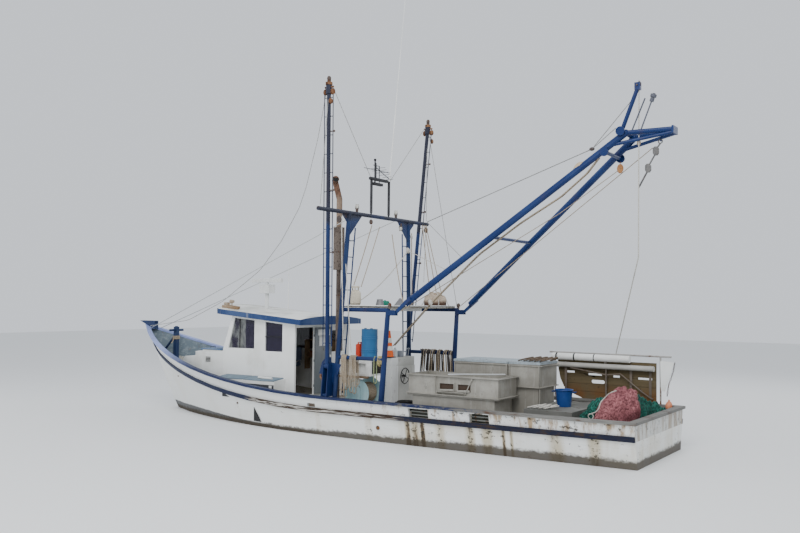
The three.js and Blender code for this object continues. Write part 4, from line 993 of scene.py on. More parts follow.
# Mast: a goalpost of steel pipe, painted blue, its crossbar carrying the outrigger
# tackles. Rust weeps from the welds. Bulb lamps and lifting eyes are welded under it.
MAST_X = -0.80
CROSSBAR_Z = 5.30
mast_blue = worn_paint(
    "mast_blue", (0.008, 0.022, 0.080), (0.020, 0.045, 0.12), (0.07, 0.04, 0.03), 0.26, 7.0,
    sooty_above=5.27,
)
paint(mast_blue, "mast_frame")
iron = worn_paint(
    "old_iron", (0.075, 0.06, 0.055), (0.15, 0.12, 0.10), (0.13, 0.055, 0.03), 0.5, 10.0, 0.75,
)
gussets = bmesh.new()
for side in (1, -1):
    for reach, drop in ((0.27, 0.25), (-0.24, 0.22)):
        plate = []
        for across, below in ((0.0, 0.0), (reach, 0.0), (reach, 0.03), (0.03, drop), (0.0, drop)):
            plate.append(gussets.verts.new((MAST_X, side * (1.32 + across), CROSSBAR_Z - below)))
        bmesh.ops.solidify(gussets, geom=[gussets.faces.new(plate)], thickness=0.02)
settle(gussets, "mast_gussets", mast_blue)


def pulley(bm, top, size, turn):
    """Adds a block: two cheeks, a sheave between them, and a shackle at its top."""
    top = Vector(top)
    spin = Matrix.Rotation(turn, 4, "Z")
    middle = top - above(size * 1.15)
    across = spin @ Vector((0, size, 0))
    for side in (-1, 1):
        ball(bm, middle + across * 0.34 * side, size * 0.62, (1.0, 0.16, 1.45), spin, 8)
        leg = top + across * 0.16 * side
        rod(bm, leg - above(size * 0.5), leg, size * 0.06, 8)
    for centre, half, radius, sides in (
        (middle, 0.24, 0.52, 20), (middle, 0.5, 0.12, 10), (top, 0.22, 0.07, 8),
    ):
        rod(bm, centre - across * half, centre + across * half, size * radius, sides)


blocks = bmesh.new()
for y, z, size in ((1.72, 5.26, 0.09), (0.40, 5.28, 0.07), (-2.22, 5.29, 0.09)):
    pulley(blocks, (MAST_X, y, z), size, 0.4)
settle(blocks, "mast_blocks", iron)

# Mast lamps: caged glass bulbs on short stems, over and under the crossbar.
lamps = bmesh.new()
glasses = bmesh.new()
for y, z, way in ((1.0, 5.42, 1), (-0.72, 5.42, 1), (-0.95, 5.24, -1)):
    socket = Vector((MAST_X, y, z))
    rod(lamps, socket - above(0.03 * way), socket + above(0.06 * way), 0.03, 14, 0.04)
    ball(glasses, socket + above(0.11 * way), 0.05, (1, 1, 1.25), None, 8)
    for turn in range(4):
        off = Vector((cos(turn * pi / 2), sin(turn * pi / 2), 0)) * 0.058
        rod(lamps, socket + above(0.05 * way) + off, socket + above(0.17 * way) + off * 0.6, 0.005, 6)
settle(lamps, "mast_lamps", iron)


def lamp_glass():
    material, place = begin("lamp_glass")
    dust = cloud(place, 18.0, 4)
    colour = tint(dust, (0.62, 0.62, 0.58), (0.42, 0.40, 0.34))
    return close(material, place, colour, 0.12 + dust * 0.2, Coat_Weight=0.6)


settle(glasses, "mast_lamp_glasses", lamp_glass())

# Aerial frame on the mast's crown: nearly black pipe with ladder rungs. A knob mast and
# a herringbone television aerial are clamped to its top bars.
black_pipe = worn_paint(
    "black_pipe", (0.028, 0.030, 0.035), (0.09, 0.09, 0.10), (0.12, 0.06, 0.035), 0.25, 9.0,
)
paint(black_pipe, "antenna_rack")
SPINE = Vector((MAST_X, 0.20, 6.60)), Vector((MAST_X, -0.44, 6.36))
aerials = bmesh.new()
# Each pipe: [across and height of its foot, across and height of its tip, radius, sides].
for y0, z0, y1, z1, radius, sides in (
    (0.25, 6.20, 0.25, 6.76, 0.020, 10),
    (0.06, 6.20, 0.06, 6.66, 0.012, 10),
    (0.72, 6.53, -0.44, 6.54, 0.008, 10),
    (0.40, 5.43, 0.40, 6.29, 0.034, 12),
    (-0.38, 5.43, -0.38, 6.29, 0.034, 12),
):
    rod(aerials, (MAST_X, y0, z0), (MAST_X, y1, z1), radius, sides)
ball(aerials, (MAST_X, 0.25, 6.79), 0.035)
rod(aerials, *SPINE, 0.010)
for share, half in ((0.05, 0.26), (0.22, 0.22), (0.40, 0.19), (0.58, 0.16), (0.76, 0.14), (0.95, 0.11)):
    spot, reach = SPINE[0].lerp(SPINE[1], share), Vector((half, 0, 0))
    rod(aerials, spot - reach, spot + reach, 0.005, 6)
for y0, y1, z in ((-0.30, 0.46, 6.30), (-0.06, 0.34, 6.18)):
    block(aerials, (MAST_X - 0.045, y0, z - 0.035), (MAST_X + 0.045, y1, z + 0.035), 0.01)
aerial_metal = worn_paint(
    "aerial_metal", (0.022, 0.022, 0.026), (0.055, 0.055, 0.06), GRIME, 0.2, 12.0, 0.6,
)
settle(aerials, "mast_aerials", aerial_metal)

# Exhaust: a muffler and riser of mild steel, rusted all over. The top is bent aft and
# scorched to a pale tan.


def scorched_rust():
    material, place = begin("scorched_rust")
    z = axis(place, "Z")
    specks = cloud(place, 14.0, 6, rough=0.7)
    patches = cloud(place, 2.2, 5, (1, 1, 0.5))
    low = tint(between(patches, 0.40, 0.62), (0.085, 0.066, 0.056), (0.15, 0.12, 0.10))
    low = tint(between(specks, 0.52, 0.66), low, (0.05, 0.036, 0.03))
    middle = tint(between(patches, 0.40, 0.62), (0.24, 0.175, 0.13), (0.13, 0.085, 0.06))
    high = tint(between(specks, 0.42, 0.60), (0.16, 0.085, 0.055), (0.08, 0.045, 0.03))
    colour = tint(between(z, 5.06, 5.12), low, tint(between(z, 5.70, 6.0), middle, high))
    return close(material, place, colour, 0.85, height=specks, depth=0.004)


stack_rust = scorched_rust()
paint(stack_rust, "exhaust_stack")
pipe_skin = solid_skin("exhaust_stack")
CLAMP_SIDES = 24
clamps = bmesh.new()
for z in (3.36, 4.45):
    ring = []
    for turn in range(CLAMP_SIDES):
        out = Vector((cos(turn * 2 * pi / CLAMP_SIDES), sin(turn * 2 * pi / CLAMP_SIDES), 0))
        ring.append(meets(pipe_skin, Vector((0.05, 0.60, z)) + out, -out))
    for start, end in zip(ring, ring[1:] + ring[:1]):
        bar(clamps, start, end, 0.03, 0.008, 0.001, pi / 2)
settle(clamps, "exhaust_clamps", iron)
mouth = bmesh.new()
rod(mouth, (0.20, 0.60, 6.28), (0.10, 0.70, 6.31), 0.082, 24, 0.088)
settle(mouth, "exhaust_mouth", stack_rust)
# A near-black disc closes the mouth: soot, and painted shade for the inside of the open pipe.
soot = bmesh.new()
rod(soot, (0.104, 0.696, 6.309), (0.098, 0.702, 6.3115), 0.074, 24)
settle(soot, "exhaust_soot_and_shade", black_rubber("soot_and_shade_black", 0.008))

# Outriggers: two tall steel pipes hinged at the sides and stowed upright, each with a
# welded ladder. At the heads are an iron block, a cross bar and a caged lamp.
spar_blue = worn_paint(
    "spar_blue", (0.006, 0.018, 0.078), (0.013, 0.034, 0.115), (0.09, 0.045, 0.03), 0.20, 6.0, 0.45,
    sooty_above=5.2,
)
paint(spar_blue, "outrigger_port", "outrigger_starboard", "heel_bracket_port", "heel_bracket_starboard")

HEADS = {
    "outrigger_port": (Vector((-0.47, 1.75, 8.44)), 1),
    "outrigger_starboard": (Vector((-0.49, -2.79, 8.20)), -1),
}
for body, (head, side) in HEADS.items():
    fitting = bmesh.new()
    rod(fitting, head - above(0.02), head + above(0.05), 0.085, 20)
    rod(fitting, head + Vector((0.12, 0, -0.07)), head + Vector((-0.14, 0, -0.07)), 0.022, 12)
    for x in (0.10, -0.12):
        pulley(fitting, head + Vector((x, 0, -0.09)), 0.085, 1.2)
    pulley(fitting, head + Vector((-0.10, side * 0.05, -0.34)), 0.075, 0.3)
    settle(fitting, body + "_head", rust_brown, body)
    lamp = bmesh.new()
    rod(lamp, head + above(0.05), head + above(0.10), 0.035, 14, 0.05)
    ball(lamp, head + above(0.145), 0.052, (1, 1, 1.2), None, 8)
    settle(lamp, body + "_lamp", iron, body)
    band = bmesh.new()
    heel = Vector((head.x, side * 1.75, 1.66))
    for share in (0.17, 0.38, 0.60):
        spot = head.lerp(heel, share)
        rod(band, spot + Vector((-0.07, 0, 0)), spot + Vector((-0.165, 0, 0)), 0.014, 8)
        ball(band, spot + Vector((-0.18, 0, 0)), 0.03, (1, 0.4, 1), None, 6)
    settle(band, body + "_eyes", iron, body)


def stay(name, corners, steps, radius, material, ends=None, smooth=False):
    """Rigging led from the hull or mast to a spar, made in place as one tube."""
    points = []
    for start, end, count in zip(corners, corners[1:], steps):
        points += [Vector(start).lerp(Vector(end), step / count) for step in range(count)]
    points.append(Vector(corners[-1]))
    line = rope(name, [points], radius, material, None, smooth=smooth)
    start, end = ends or (points[0], points[-1])
    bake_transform(line)


# Guys and topping lifts of galvanised wire run from the heads to the mast and the bow.
# Each one: [name, across and height of its foot on the mast, its eye from the head, body].
GUY_RADIUS = 0.008
for name, y, z, eye_at, body in (
    ("lift_port", 0.40, 6.28, (-0.05, -0.09, -0.05), "outrigger_port"),
    ("lift_starboard", -0.38, 6.28, (0.05, 0.09, -0.05), "outrigger_starboard"),
    ("tackle_port", 2.44, 5.44, (0, 0.02, -0.30), "outrigger_port"),
    ("tackle_starboard", -2.24, 5.44, (0, 0.04, -0.30), "outrigger_starboard"),
):
    foot, head = (MAST_X, y, z), HEADS[body][0] + Vector(eye_at)
    stay(name, (foot, head), [16], GUY_RADIUS, wire_grey)
port_head = HEADS["outrigger_port"][0]
FORE_GUY = (
    (7.05, 0.62, 2.42), (5.2, 0.86, 2.62), (3.6, 1.12, 3.16), (2.03, 1.35, 3.99), (1.21, 1.48, 4.71),
    (0.55, 1.59, 5.5), (0.30, 1.63, 6.0), (-0.10, 1.68, 7.2), port_head + Vector((0.06, 0, -0.08)),
)
stay("fore_guy_port", FORE_GUY, [4] * 8, GUY_RADIUS, wire_grey,
     ((4.0, 1.1, 2.9), port_head), True)

# Gallows: heavy blue pipe frames that carry the canopy and the boom. Each post has a
# ship's light bracket, and coils of rope and old lines hang over the lower bars.
paint(spar_blue, "gallows_port", "gallows_starboard")


def free_cord(name, path, radius, material):
    """A free rope or hose with two bare ends: one tube along its path."""
    piece = rope(name, [path], radius, material, "root", False)
    length = sum((end - start).length for start, end in zip(path, path[1:]))
    radius * 2


def arc(first, last, sunk):
    """Places in a bight that lie on a round: [across, up, share of the bight's depth]."""
    return [(sin(step * pi / 6), cos(step * pi / 6), sunk) for step in range(first, last)]


# One bight: over the bar, down one side, round its lower end, and up the other side.
BIGHT = arc(0, 4, 0.0) + [(1.0, 0.0, share) for share in (0.25, 0.5, 0.75)] + arc(3, 10, 1.0)
BIGHT += [(-1.0, 0.0, share) for share in (0.75, 0.5, 0.25)] + arc(9, 12, 0.0)


def hanging_hank(name, start, end, count, drop, radius, material, out, fan, uneven):
    """One rope wound over a bar in long bights, which hang down both its sides."""
    start, end = Vector(start), Vector(end)
    along = (end - start).normalized()
    across = Vector((0, 0, 1)).cross(along)
    path = []
    for turn in range(count):
        depth = drop * (0.80 + 0.20 * sin(turn * 2.4))
        for step, (aside, rise, sunk) in enumerate(BIGHT):
            wound = turn + step / len(BIGHT)
            share = (wound + uneven * sin(wound * 2.9)) / count
            top = start.lerp(end, share) + along * fan * sunk * (share - 0.5)
            path.append(top + across * out * aside + above(radius + out * (rise - 1) - depth * sunk))
    free_cord(name, path, radius, material)


BAR_TOP = 1.925
GALLOWS_Y = 1.60
rope_green = stranded("rope_green", (0.42, 0.48, 0.26), (0.15, 0.18, 0.10))
rope_yellow = stranded("rope_yellow", (0.55, 0.46, 0.20), (0.24, 0.19, 0.09))
# Each hank: [name, where on the bar it starts and ends, how far it lies above the bar, bights,
# drop, radius, material, how far it stands out, fan, unevenness].
for name, start, end, lift, *wound in (
    ("port_bar_ropes", (-0.84, 1.575), (-1.00, 1.58), 0, 6, 0.90, 0.011, rope_buff, 0.066, 0.05, 0),
    ("port_bar_ropes_aft", (-1.10, 1.59), (-1.30, 1.60), 0, 6, 0.80, 0.011, rope_buff, 0.066, 0.08, 0),
    ("port_bar_ropes_green", (-1.80, 1.60), (-1.83, 1.60), 0, 1, 0.62, 0.012, rope_green, 0.066, 0, 0),
    ("port_bar_coil", (-1.90, 1.60), (-2.10, 1.60), 0, 5, 0.10, 0.016, rope_yellow, 0.066, 0, 0),
    ("starboard_bar_ropes", (-1.05, -1.60), (-2.05, -1.60), 0,
     12, 0.68, 0.017, rope_dark, 0.066, 0.10, 0.25),
    ("starboard_bar_ropes_pale", (-1.10, -1.60), (-2.02, -1.60), 0.02,
     9, 0.74, 0.013, rope_buff, 0.090, 0.12, 0.25),
):
    hanging_hank(name, (*start, BAR_TOP + lift), (*end, BAR_TOP + lift), *wound)

# Cheek plates of the port outrigger's heel: torch-cut steel, one painted and one rusted.
CHEEK = (
    (-0.29, 1.74), (-0.41, 1.87), (-0.57, 1.87), (-0.57, 1.75), (-0.87, 1.71), (-0.75, 1.43),
    (-0.64, 1.21), (-0.56, 1.37), (-0.21, 1.47),
)
SHACKLE = ((-0.24, 1.52), (-0.62, 1.36), (-0.56, 1.20), (-0.43, 1.02), (-0.38, 1.18), (-0.20, 1.38))
for name, plate_y, corners, material, slot in (
    ("heel_cheek", 1.655, CHEEK, spar_blue, "blue_steel"),
    ("heel_shackle", 1.635, SHACKLE, rust_brown, "rusty"),
):
    cheek = bmesh.new()
    face = cheek.faces.new([cheek.verts.new((x, plate_y, z)) for x, z in corners])
    bmesh.ops.solidify(cheek, geom=[face], thickness=0.012)
    settle(cheek, name, material)

# A deck lamp under a round iron guard is screwed to the head of each after gallows post.
caged = bmesh.new()
for side in (1, -1):
    foot = Vector((-2.20, side * GALLOWS_Y, 3.04))
    rod(caged, foot, foot + above(0.05), 0.028, 12)
    ball(caged, foot + above(0.09), 0.045, (1, 1, 1.2), None, 8)
settle(caged, "gallows_lamps", iron)

# Canopy: a plywood deck over the winch, its edge bound with a white painted strip.


def canopy_paint_and_shade():
    material, place = begin("canopy_paint_and_shade")
    y, z = axis(place, "Y"), axis(place, "Z")
    specks = cloud(place, 8.0, 6, rough=0.7)
    patches = cloud(place, 1.2, 4)
    gaps = seams(y, 0.30, 0.008)
    top = tint(between(patches, 0.40, 0.62), (0.46, 0.45, 0.40), (0.26, 0.24, 0.20))
    top = tint(between(specks, 0.52, 0.64) * 0.7, top, (0.13, 0.09, 0.06))
    # Below its top face, on its edges and underside, the canopy is painted near black: painted shade
    # under the canopy.
    under = tint(between(specks, 0.45, 0.62), (0.12, 0.11, 0.10), (0.05, 0.045, 0.04))
    colour = tint(gaps, tint(between(z, 3.070, 3.080), top, under), (0.03, 0.03, 0.03))
    return close(material, place, colour, 0.75, height=specks * 0.5 - gaps, depth=0.003)


paint(canopy_paint_and_shade(), "canopy")
canopy_low, canopy_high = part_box("canopy")
canopy_aft, canopy_top = canopy_low[0], canopy_high[2]
strip = bmesh.new()
strip_z = canopy_top + 0.012
for side in (1, -1):
    y = side * (canopy_high[1] + 0.002)
    bar(strip, (-0.95, y, strip_z), (canopy_aft + 0.01, y, strip_z), 0.05, 0.02, 0.004)
y = canopy_high[1] - 0.02
bar(strip, (canopy_aft + 0.005, -y, strip_z), (canopy_aft + 0.005, y, strip_z), 0.05, 0.02, 0.004)
settle(strip, "canopy_edge", house_white("trim_white", 0.4))
lights = bmesh.new()
for y in (0.75, -0.2):
    block(lights, (-1.95, y, canopy_low[2] - 0.075), (-1.15, y + 0.10, canopy_low[2] - 0.003), 0.012)
settle(lights, "canopy_lights", plastic)

# On the canopy: a steel gas bottle, a bundled green net, a grey funnel of sheet metal and
# a heap of old canvas tied down with line.


def turned(bm, foot, outline_of, steps=28):
    """Adds a round body on an upright axis, from its outline: [radius, height] of each point."""
    foot = Vector(foot)
    verts = [bm.verts.new(foot + Vector((radius, 0, height))) for radius, height in outline_of]
    edges = [bm.edges.new(pair) for pair in zip(verts, verts[1:])]
    bmesh.ops.spin(bm, geom=verts + edges, cent=foot, axis=(0, 0, 1), angle=2 * pi, steps=steps,
                   use_merge=True)


# The bottle's outline, from its foot to the crown of its shoulder: [radius, height].
BOTTLE = (
    (0, 0), (0.12, 0), (0.12, 0.03), (0.143, 0.06), (0.143, 0.30), (0.12, 0.35), (0.06, 0.385),
    (0, 0.39),
)
bottle = bmesh.new()
bottle_at = Vector((-0.745, 0.96, canopy_top + 0.002))
turned(bottle, bottle_at, BOTTLE)
for turn in range(3):
    leg = bottle_at + Vector((cos(turn * 2.1), sin(turn * 2.1), 0)) * 0.085
    rod(bottle, leg + above(0.34), leg + above(0.45), 0.014, 8)
turned(bottle, bottle_at + above(0.44), ((0, 0), (0.105, 0), (0.105, 0.04), (0, 0.04)))
bottle_cream = worn_paint("bottle_cream", (0.62, 0.57, 0.45), (0.50, 0.44, 0.34), RUST, 0.22, 12.0)
settle(bottle, "gas_bottle", bottle_cream)
funnel = bmesh.new()
for x, y, tall, radius, sides, top_radius in (
    (-1.50, 0.10, 0.20, 0.20, 4, 0.02),
    (-1.20, 0.55, 0.17, 0.11, 18, 0.07),
):
    rod(funnel, (x, y, canopy_top + 0.002), (x, y, canopy_top + tall), radius, sides, top_radius)
dull_sheet = worn_paint(
    "dull_sheet", (0.20, 0.20, 0.21), (0.32, 0.32, 0.33), RUST, 0.35, 8.0, 0.6, 0.4,
)
settle(funnel, "canopy_funnel", dull_sheet)


def heap(name, middle, size, material, lumps, seed):
    """A thrown-down heap of cloth or net: folds stand up in it and it lies flat below."""
    pile = bmesh.new()
    bmesh.ops.create_icosphere(pile, subdivisions=4, radius=1.0)
    for vert in pile.verts:
        x, y, z = vert.co
        fold = abs(sin(x * 5.3 + y * 3.1 + seed)) * 0.5 + abs(sin(y * 7.9 - x * 2.3 + seed * 2)) * 0.5
        grow = 1 - lumps * 0.5 + lumps * fold * (0.4 + 0.6 * max(z, 0))
        lying = Vector((x * grow, y * grow, max(z, 0.0) * grow + min(z, 0) * 0.05))
        vert.co = lying * Vector(size) + Vector(middle)
    return settle(pile, name, material, sharp=70)


def old_canvas():
    material, place = begin("old_canvas")
    folds = cloud(place, 5.0, 6)
    weave = place.node(
        "ShaderNodeTexWave", {"bands_direction": "Y"},
        {"Vector": place, "Scale": 120.0, "Distortion": 2.0},
    )
    colour = tint(between(folds, 0.38, 0.62), (0.50, 0.42, 0.33), (0.36, 0.28, 0.21))
    under = between(axis(place, "Z") + folds * 0.16, canopy_top + 0.25, canopy_top + 0.15)
    colour = tint(under, colour, (0.085, 0.050, 0.035))
    return close(material, place, colour, 0.9, height=weave * 0.2 + folds, depth=0.006)


def skin_of(*made):
    """A search tree over finished soft pieces, which have no modifiers."""
    points, faces = [], []
    for piece in made:
        first = len(points)
        points += [vert.co for vert in piece.data.vertices]
        faces += [[first + index for index in face.vertices] for face in piece.data.polygons]
    return BVHTree.FromPolygons(points, faces)


canvas_at = Vector((-1.78, -1.12, canopy_top + 0.003))
canvas = heap("canopy_canvas", canvas_at, (0.31, 0.34, 0.33), old_canvas(), 0.40, 0.0)
green_twine = stranded("green_net", (0.03, 0.30, 0.20), (0.01, 0.10, 0.07), 30.0)
heap("canopy_net", (-1.15, 0.25, canopy_top + 0.003), (0.13, 0.18, 0.12), green_twine, 0.5, 1.4)
canvas_skin = skin_of(canvas)
ties = []
for way in (Vector((0.33, 0.20, 0)), Vector((0.30, -0.26, 0))):
    tie = []
    for step in range(-8, 9):
        spot = canvas_at + way * step / 8
        met = meets(canvas_skin, spot + above(1), (0, 0, -1)) or canvas_at
        tie.append(Vector((spot.x, spot.y, met.z + 0.012)))
    ties.append(tie)
rope("canvas_ties", ties, 0.010, rope_white)

# Winch: a pale blue stand with two drums, each wound with trawl warp, and over it a
# plank stained with grease. The power pack is a white box with a dark grille.
drum_cyan = worn_paint(
    "drum_cyan", (0.33, 0.53, 0.57), (0.50, 0.66, 0.68), (0.20, 0.12, 0.07), 0.30, 7.0,
)
paint(drum_cyan, "winch_drum_port", "winch_drum_starboard", "winch_stand")
WARP_PITCH = 0.024
for side, warp in (("port", rope_buff), ("starboard", wire_grey)):
    name = "winch_drum_" + side
    (low_x, low_y, low_z), (high_x, high_y, high_z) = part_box(name)
    axle = Vector(((low_x + high_x) / 2, 0, (low_z + high_z) / 2))
    inner, outer = low_y + 0.05, high_y - 0.05
    turns = []
    for reach in (0.211, 0.232):
        for at in range(int((outer - inner) / WARP_PITCH)):
            winding = []
            for step in range(19):
                angle, y = step * pi / 9, inner + (at + 0.5 + step / 18) * WARP_PITCH
                winding.append(axle + Vector((reach * cos(angle), y, reach * sin(angle))))
            turns.append(winding)
    rope(name + "_warp", turns, 0.0115, warp, "drum_" + side, False)
paint(house_white("power_white", 0.5), "power_pack")
power_low, power_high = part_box("power_pack")
power_aft = power_low[0] - 0.003
# The grille on the port side and a plate behind the after slats are near black: the grille's own dark,
# and painted shade for the inside of the pack behind the openings.
grille = bmesh.new()
block(grille, (-1.03, power_high[1] - 0.002, power_low[2] + 0.06),
      (-0.97, power_high[1] + 0.006, power_high[2] - 0.08), 0.004)
block(grille, (power_aft - 0.004, power_low[1] + 0.05, power_low[2] + 0.05),
      (power_aft + 0.004, power_high[1] - 0.05, power_high[2] - 0.05), 0.004)
settle(grille, "power_openings", black_rubber("grille_and_opening_shade", 0.012))
slats = bmesh.new()
for at in range(7):
    slat = Vector((power_aft - 0.006, 0, power_low[2] + 0.09 + at * 0.037))
    ends = [slat + Vector((0, y, 0)) for y in (power_low[1] + 0.06, power_high[1] - 0.06)]
    bar(slats, *ends, 0.018, 0.005, 0.001, 0.5)
settle(slats, "power_slats", iron)
greasy = bmesh.new()
bar(greasy, (-0.42, 1.25, 1.40), (-1.36, 1.25, 1.40), 0.05, 0.10, 0.008, pi / 2)
greasy_wood = worn_paint("greasy_wood", (0.15, 0.10, 0.065), (0.24, 0.18, 0.12), GRIME, 0.4, 8.0, 0.8)
settle(greasy, "winch_plank", greasy_wood)

# Plastic drum: blow-moulded in dark blue, with two pairs of rolled hoops round its side
# and two screwed bungs in its head.
DRUM_SHADE = (0.02, 0.05, 0.10)
drum_blue = worn_paint(
    "drum_blue", (0.028, 0.13, 0.29), (0.08, 0.22, 0.38), DRUM_SHADE, 0.06, 5.0, 0.35,
)
paint(drum_blue, "plastic_drum")
drum_low, drum_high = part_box("plastic_drum")
drum_foot = middle_of("plastic_drum")
drum_foot.z = drum_low[2]
drum_reach, drum_tall = (drum_high[0] - drum_low[0]) / 2, drum_high[2] - drum_low[2]
hoops = bmesh.new()
for share in (0.24, 0.30, 0.68, 0.74):
    ring = drum_foot + above(drum_tall * share)
    for half, reach in ((0.012, 0.004), (0.006, 0.010)):
        rod(hoops, ring - above(half), ring + above(half), drum_reach + reach, 40)
for x in (-0.09, 0.09):
    bung = drum_foot + Vector((x, 0.05, drum_tall))
    rod(hoops, bung - above(0.002), bung + above(0.022), 0.032, 18)
hoop_blue = worn_paint(
    "hoop_blue", (0.035, 0.15, 0.33), (0.10, 0.26, 0.45), DRUM_SHADE, 0.05, 5.0, 0.4,
)
settle(hoops, "drum_hoops", hoop_blue)

# Fuel can beside the drum: red plastic, moulded in one piece with its handle.
HANDLE_X = 0.065
can = bmesh.new()
can_low = drum_foot + Vector((0.225, -0.08, 0.001))
block(can, can_low, can_low + Vector((0.13, 0.18, 0.34)), 0.03)
for (y0, z0), (y1, z1) in (
    ((0.03, 0.375), (0.15, 0.375)), ((0.035, 0.33), (0.035, 0.385)), ((0.145, 0.33), (0.145, 0.385)),
):
    start, end = Vector((HANDLE_X, y0, z0)), Vector((HANDLE_X, y1, z1))
    bar(can, can_low + start, can_low + end, 0.03, 0.02, 0.006)
can_red = worn_paint(
    "can_red", (0.52, 0.045, 0.02), (0.60, 0.12, 0.06), (0.16, 0.02, 0.015), 0.10, 8.0, 0.4,
)
settle(can, "fuel_can", can_red)

# Deck console: a plywood locker with the winch controls, its after side painted grey.


def console_finish():
    material, place = begin("console_finish")
    specks = cloud(place, 12.0, 6, rough=0.7)
    runs = cloud(place, 1.0, 5, (8.0, 8.0, 0.7), 0.6)
    patches = cloud(place, 1.3, 3)
    grey = tint(between(patches, 0.40, 0.65), (0.50, 0.50, 0.47), (0.40, 0.40, 0.37))
    colour = tint(between(axis(place, "Y"), 0.24, 0.26), grey, (0.68, 0.69, 0.68))
    colour = tint(between(runs, 0.56, 0.76) * 0.5, colour, (0.26, 0.21, 0.15))
    colour = tint(between(specks, 0.62, 0.68) * 0.7, colour, (0.12, 0.09, 0.07))
    return close(material, place, colour, 0.5, height=specks, depth=0.002)


console_paint = console_finish()
paint(console_paint, "deck_console")
paint(black_rubber("wheel_black", 0.014), "deck_wheel")
console_low, console_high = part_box("deck_console")
BENCH = 1.836
upper = bmesh.new()
block(upper, (console_low[0] + 0.01, console_low[1] + 0.01, console_high[2] + 0.001),
      (console_high[0], console_high[1], BENCH - 0.001), 0.006)
settle(upper, "console_upper", console_paint)
controls = bmesh.new()
block(controls, (-1.50, -0.10, BENCH + 0.001), (-1.32, 0.06, BENCH + 0.15), 0.02)
rod(controls, (-1.41, -0.13, BENCH + 0.09), (-1.41, -0.02, BENCH + 0.09), 0.05, 20)
for y in (-0.30, -0.40):
    rod(controls, (-1.42, y, BENCH - 0.002), (-1.45, y, BENCH + 0.17), 0.010, 10)
    ball(controls, (-1.453, y, BENCH + 0.19), 0.022)
motor_grey = worn_paint("motor_grey", (0.20, 0.23, 0.27), (0.32, 0.35, 0.38), RUST, 0.3)
settle(controls, "console_gear", motor_grey)

# Traffic cone: moulded vinyl, orange with two white sleeves, on a square black foot.
FOOT_THICK = 0.022
cone_at = Vector((-1.40, 0.42, BENCH + 0.001))
foot = bmesh.new()
block(foot, cone_at - Vector((0.13, 0.13, 0)), cone_at + Vector((0.13, 0.13, FOOT_THICK)), 0.008)
settle(foot, "cone_foot", black_rubber("cone_black", 0.02))


def cone_finish():
    material, place = begin("cone_finish")
    rise = axis(place, "Z") - cone_at.z
    scuffs = between(cloud(place, 18.0, 5), 0.55, 0.68)
    sleeves = between(abs(rise - 0.42), 0.060, 0.055) + between(abs(rise - 0.23), 0.055, 0.050)
    colour = tint(sleeves, (0.78, 0.13, 0.02), (0.78, 0.76, 0.72))
    return close(material, place, tint(scuffs * 0.5, colour, (0.25, 0.15, 0.10)), 0.5)


cone = bmesh.new()
rod(cone, cone_at + above(FOOT_THICK), cone_at + above(0.66), 0.115, 32, 0.026)
settle(cone, "deck_cone", cone_finish())
JUG = (
    (0, 0), (0.058, 0), (0.064, 0.015), (0.064, 0.15), (0.026, 0.205), (0.026, 0.235), (0, 0.235),
)
jug = bmesh.new()
turned(jug, (-1.40, 0.16, BENCH + 0.001), JUG, 24)
jug_white = worn_paint("jug_white", (0.66, 0.70, 0.70), (0.50, 0.56, 0.58), GRIME, 0.05, 8.0, 0.35)
settle(jug, "console_jug", jug_white)

# Sorting boxes, hold hatch and coaming: welded aluminium sheet with folded rims, gone
# dull grey, scratched and streaked. Ledges and bars are welded round the boxes' sides.


def dull_aluminium():
    material, place = begin("dull_aluminium")
    runs = cloud(place, 1.0, 5, (14.0, 14.0, 0.9), 0.65)
    specks = cloud(place, 11.0, 6, rough=0.7)
    patches = cloud(place, 1.6, 4)
    colour = tint(between(patches, 0.38, 0.64), (0.375, 0.36, 0.32), (0.275, 0.26, 0.225))
    colour = tint(between(runs, 0.50, 0.72) * 0.6, colour, (0.44, 0.43, 0.39))
    colour = tint(between(specks * 0.5 + runs * 0.5, 0.56, 0.64) * 0.55, colour, (0.15, 0.135, 0.11))
    lid = tint(between(specks, 0.40, 0.62), (0.36, 0.42, 0.46), (0.28, 0.32, 0.34))
    colour = tint(between(axis(place, "Z"), 1.828, 1.832), colour, lid)
    return close(material, place, colour, 0.58, 0.35, runs + specks * 0.5, 0.003)


aluminium = dull_aluminium()
paint(aluminium, "sorting_box_port", "sorting_box_aft", "hold_coaming", "hold_lid")
grating_grey = worn_paint(
    "grating_grey", (0.115, 0.115, 0.105), (0.17, 0.17, 0.155), (0.08, 0.06, 0.045), 0.40, 6.0, 0.7,
)
paint(grating_grey, "aft_hatch")
RIM, LEDGE = 0.045, 0.05
box_low, (box_forward, box_outer, box_head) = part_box("sorting_box_port")
box_aft, box_inner = box_low[:2]
front, rim_z, ledge_z = box_outer + 0.006, box_head - 0.02, 1.13
trim = bmesh.new()
for start, end, wide, roll in (
    ((box_aft, front, rim_z), (box_forward, front, rim_z), RIM, pi / 2),
    ((box_aft, front + 0.006, ledge_z), (box_forward, front + 0.006, ledge_z), LEDGE, pi / 2),
    ((-3.24, front, ledge_z), (-3.24, front, rim_z), 0.022, 0),
    ((-3.24, front + 0.012, ledge_z + 0.01), (-3.98, front + 0.012, ledge_z + 0.01), 0.04, pi / 2),
    ((-3.98, front, ledge_z), (-4.19, front, rim_z), 0.022, 0),
    ((-3.72, front, ledge_z), (-3.72, front, 1.42), 0.018, 0),
):
    bar(trim, start, end, 0.014, wide, 0.003, roll)
for z, wide in ((rim_z, RIM), (ledge_z, LEDGE)):
    for x in (box_aft - 0.006, box_forward + 0.006):
        bar(trim, (x, box_inner, z), (x, box_outer, z), 0.014, wide, 0.003, pi / 2)
    back = box_inner - 0.004
    bar(trim, (box_aft, back, z), (box_forward, back, z), 0.014, wide, 0.003, pi / 2)
settle(trim, "sorting_box_trim", aluminium)
chute = bmesh.new()
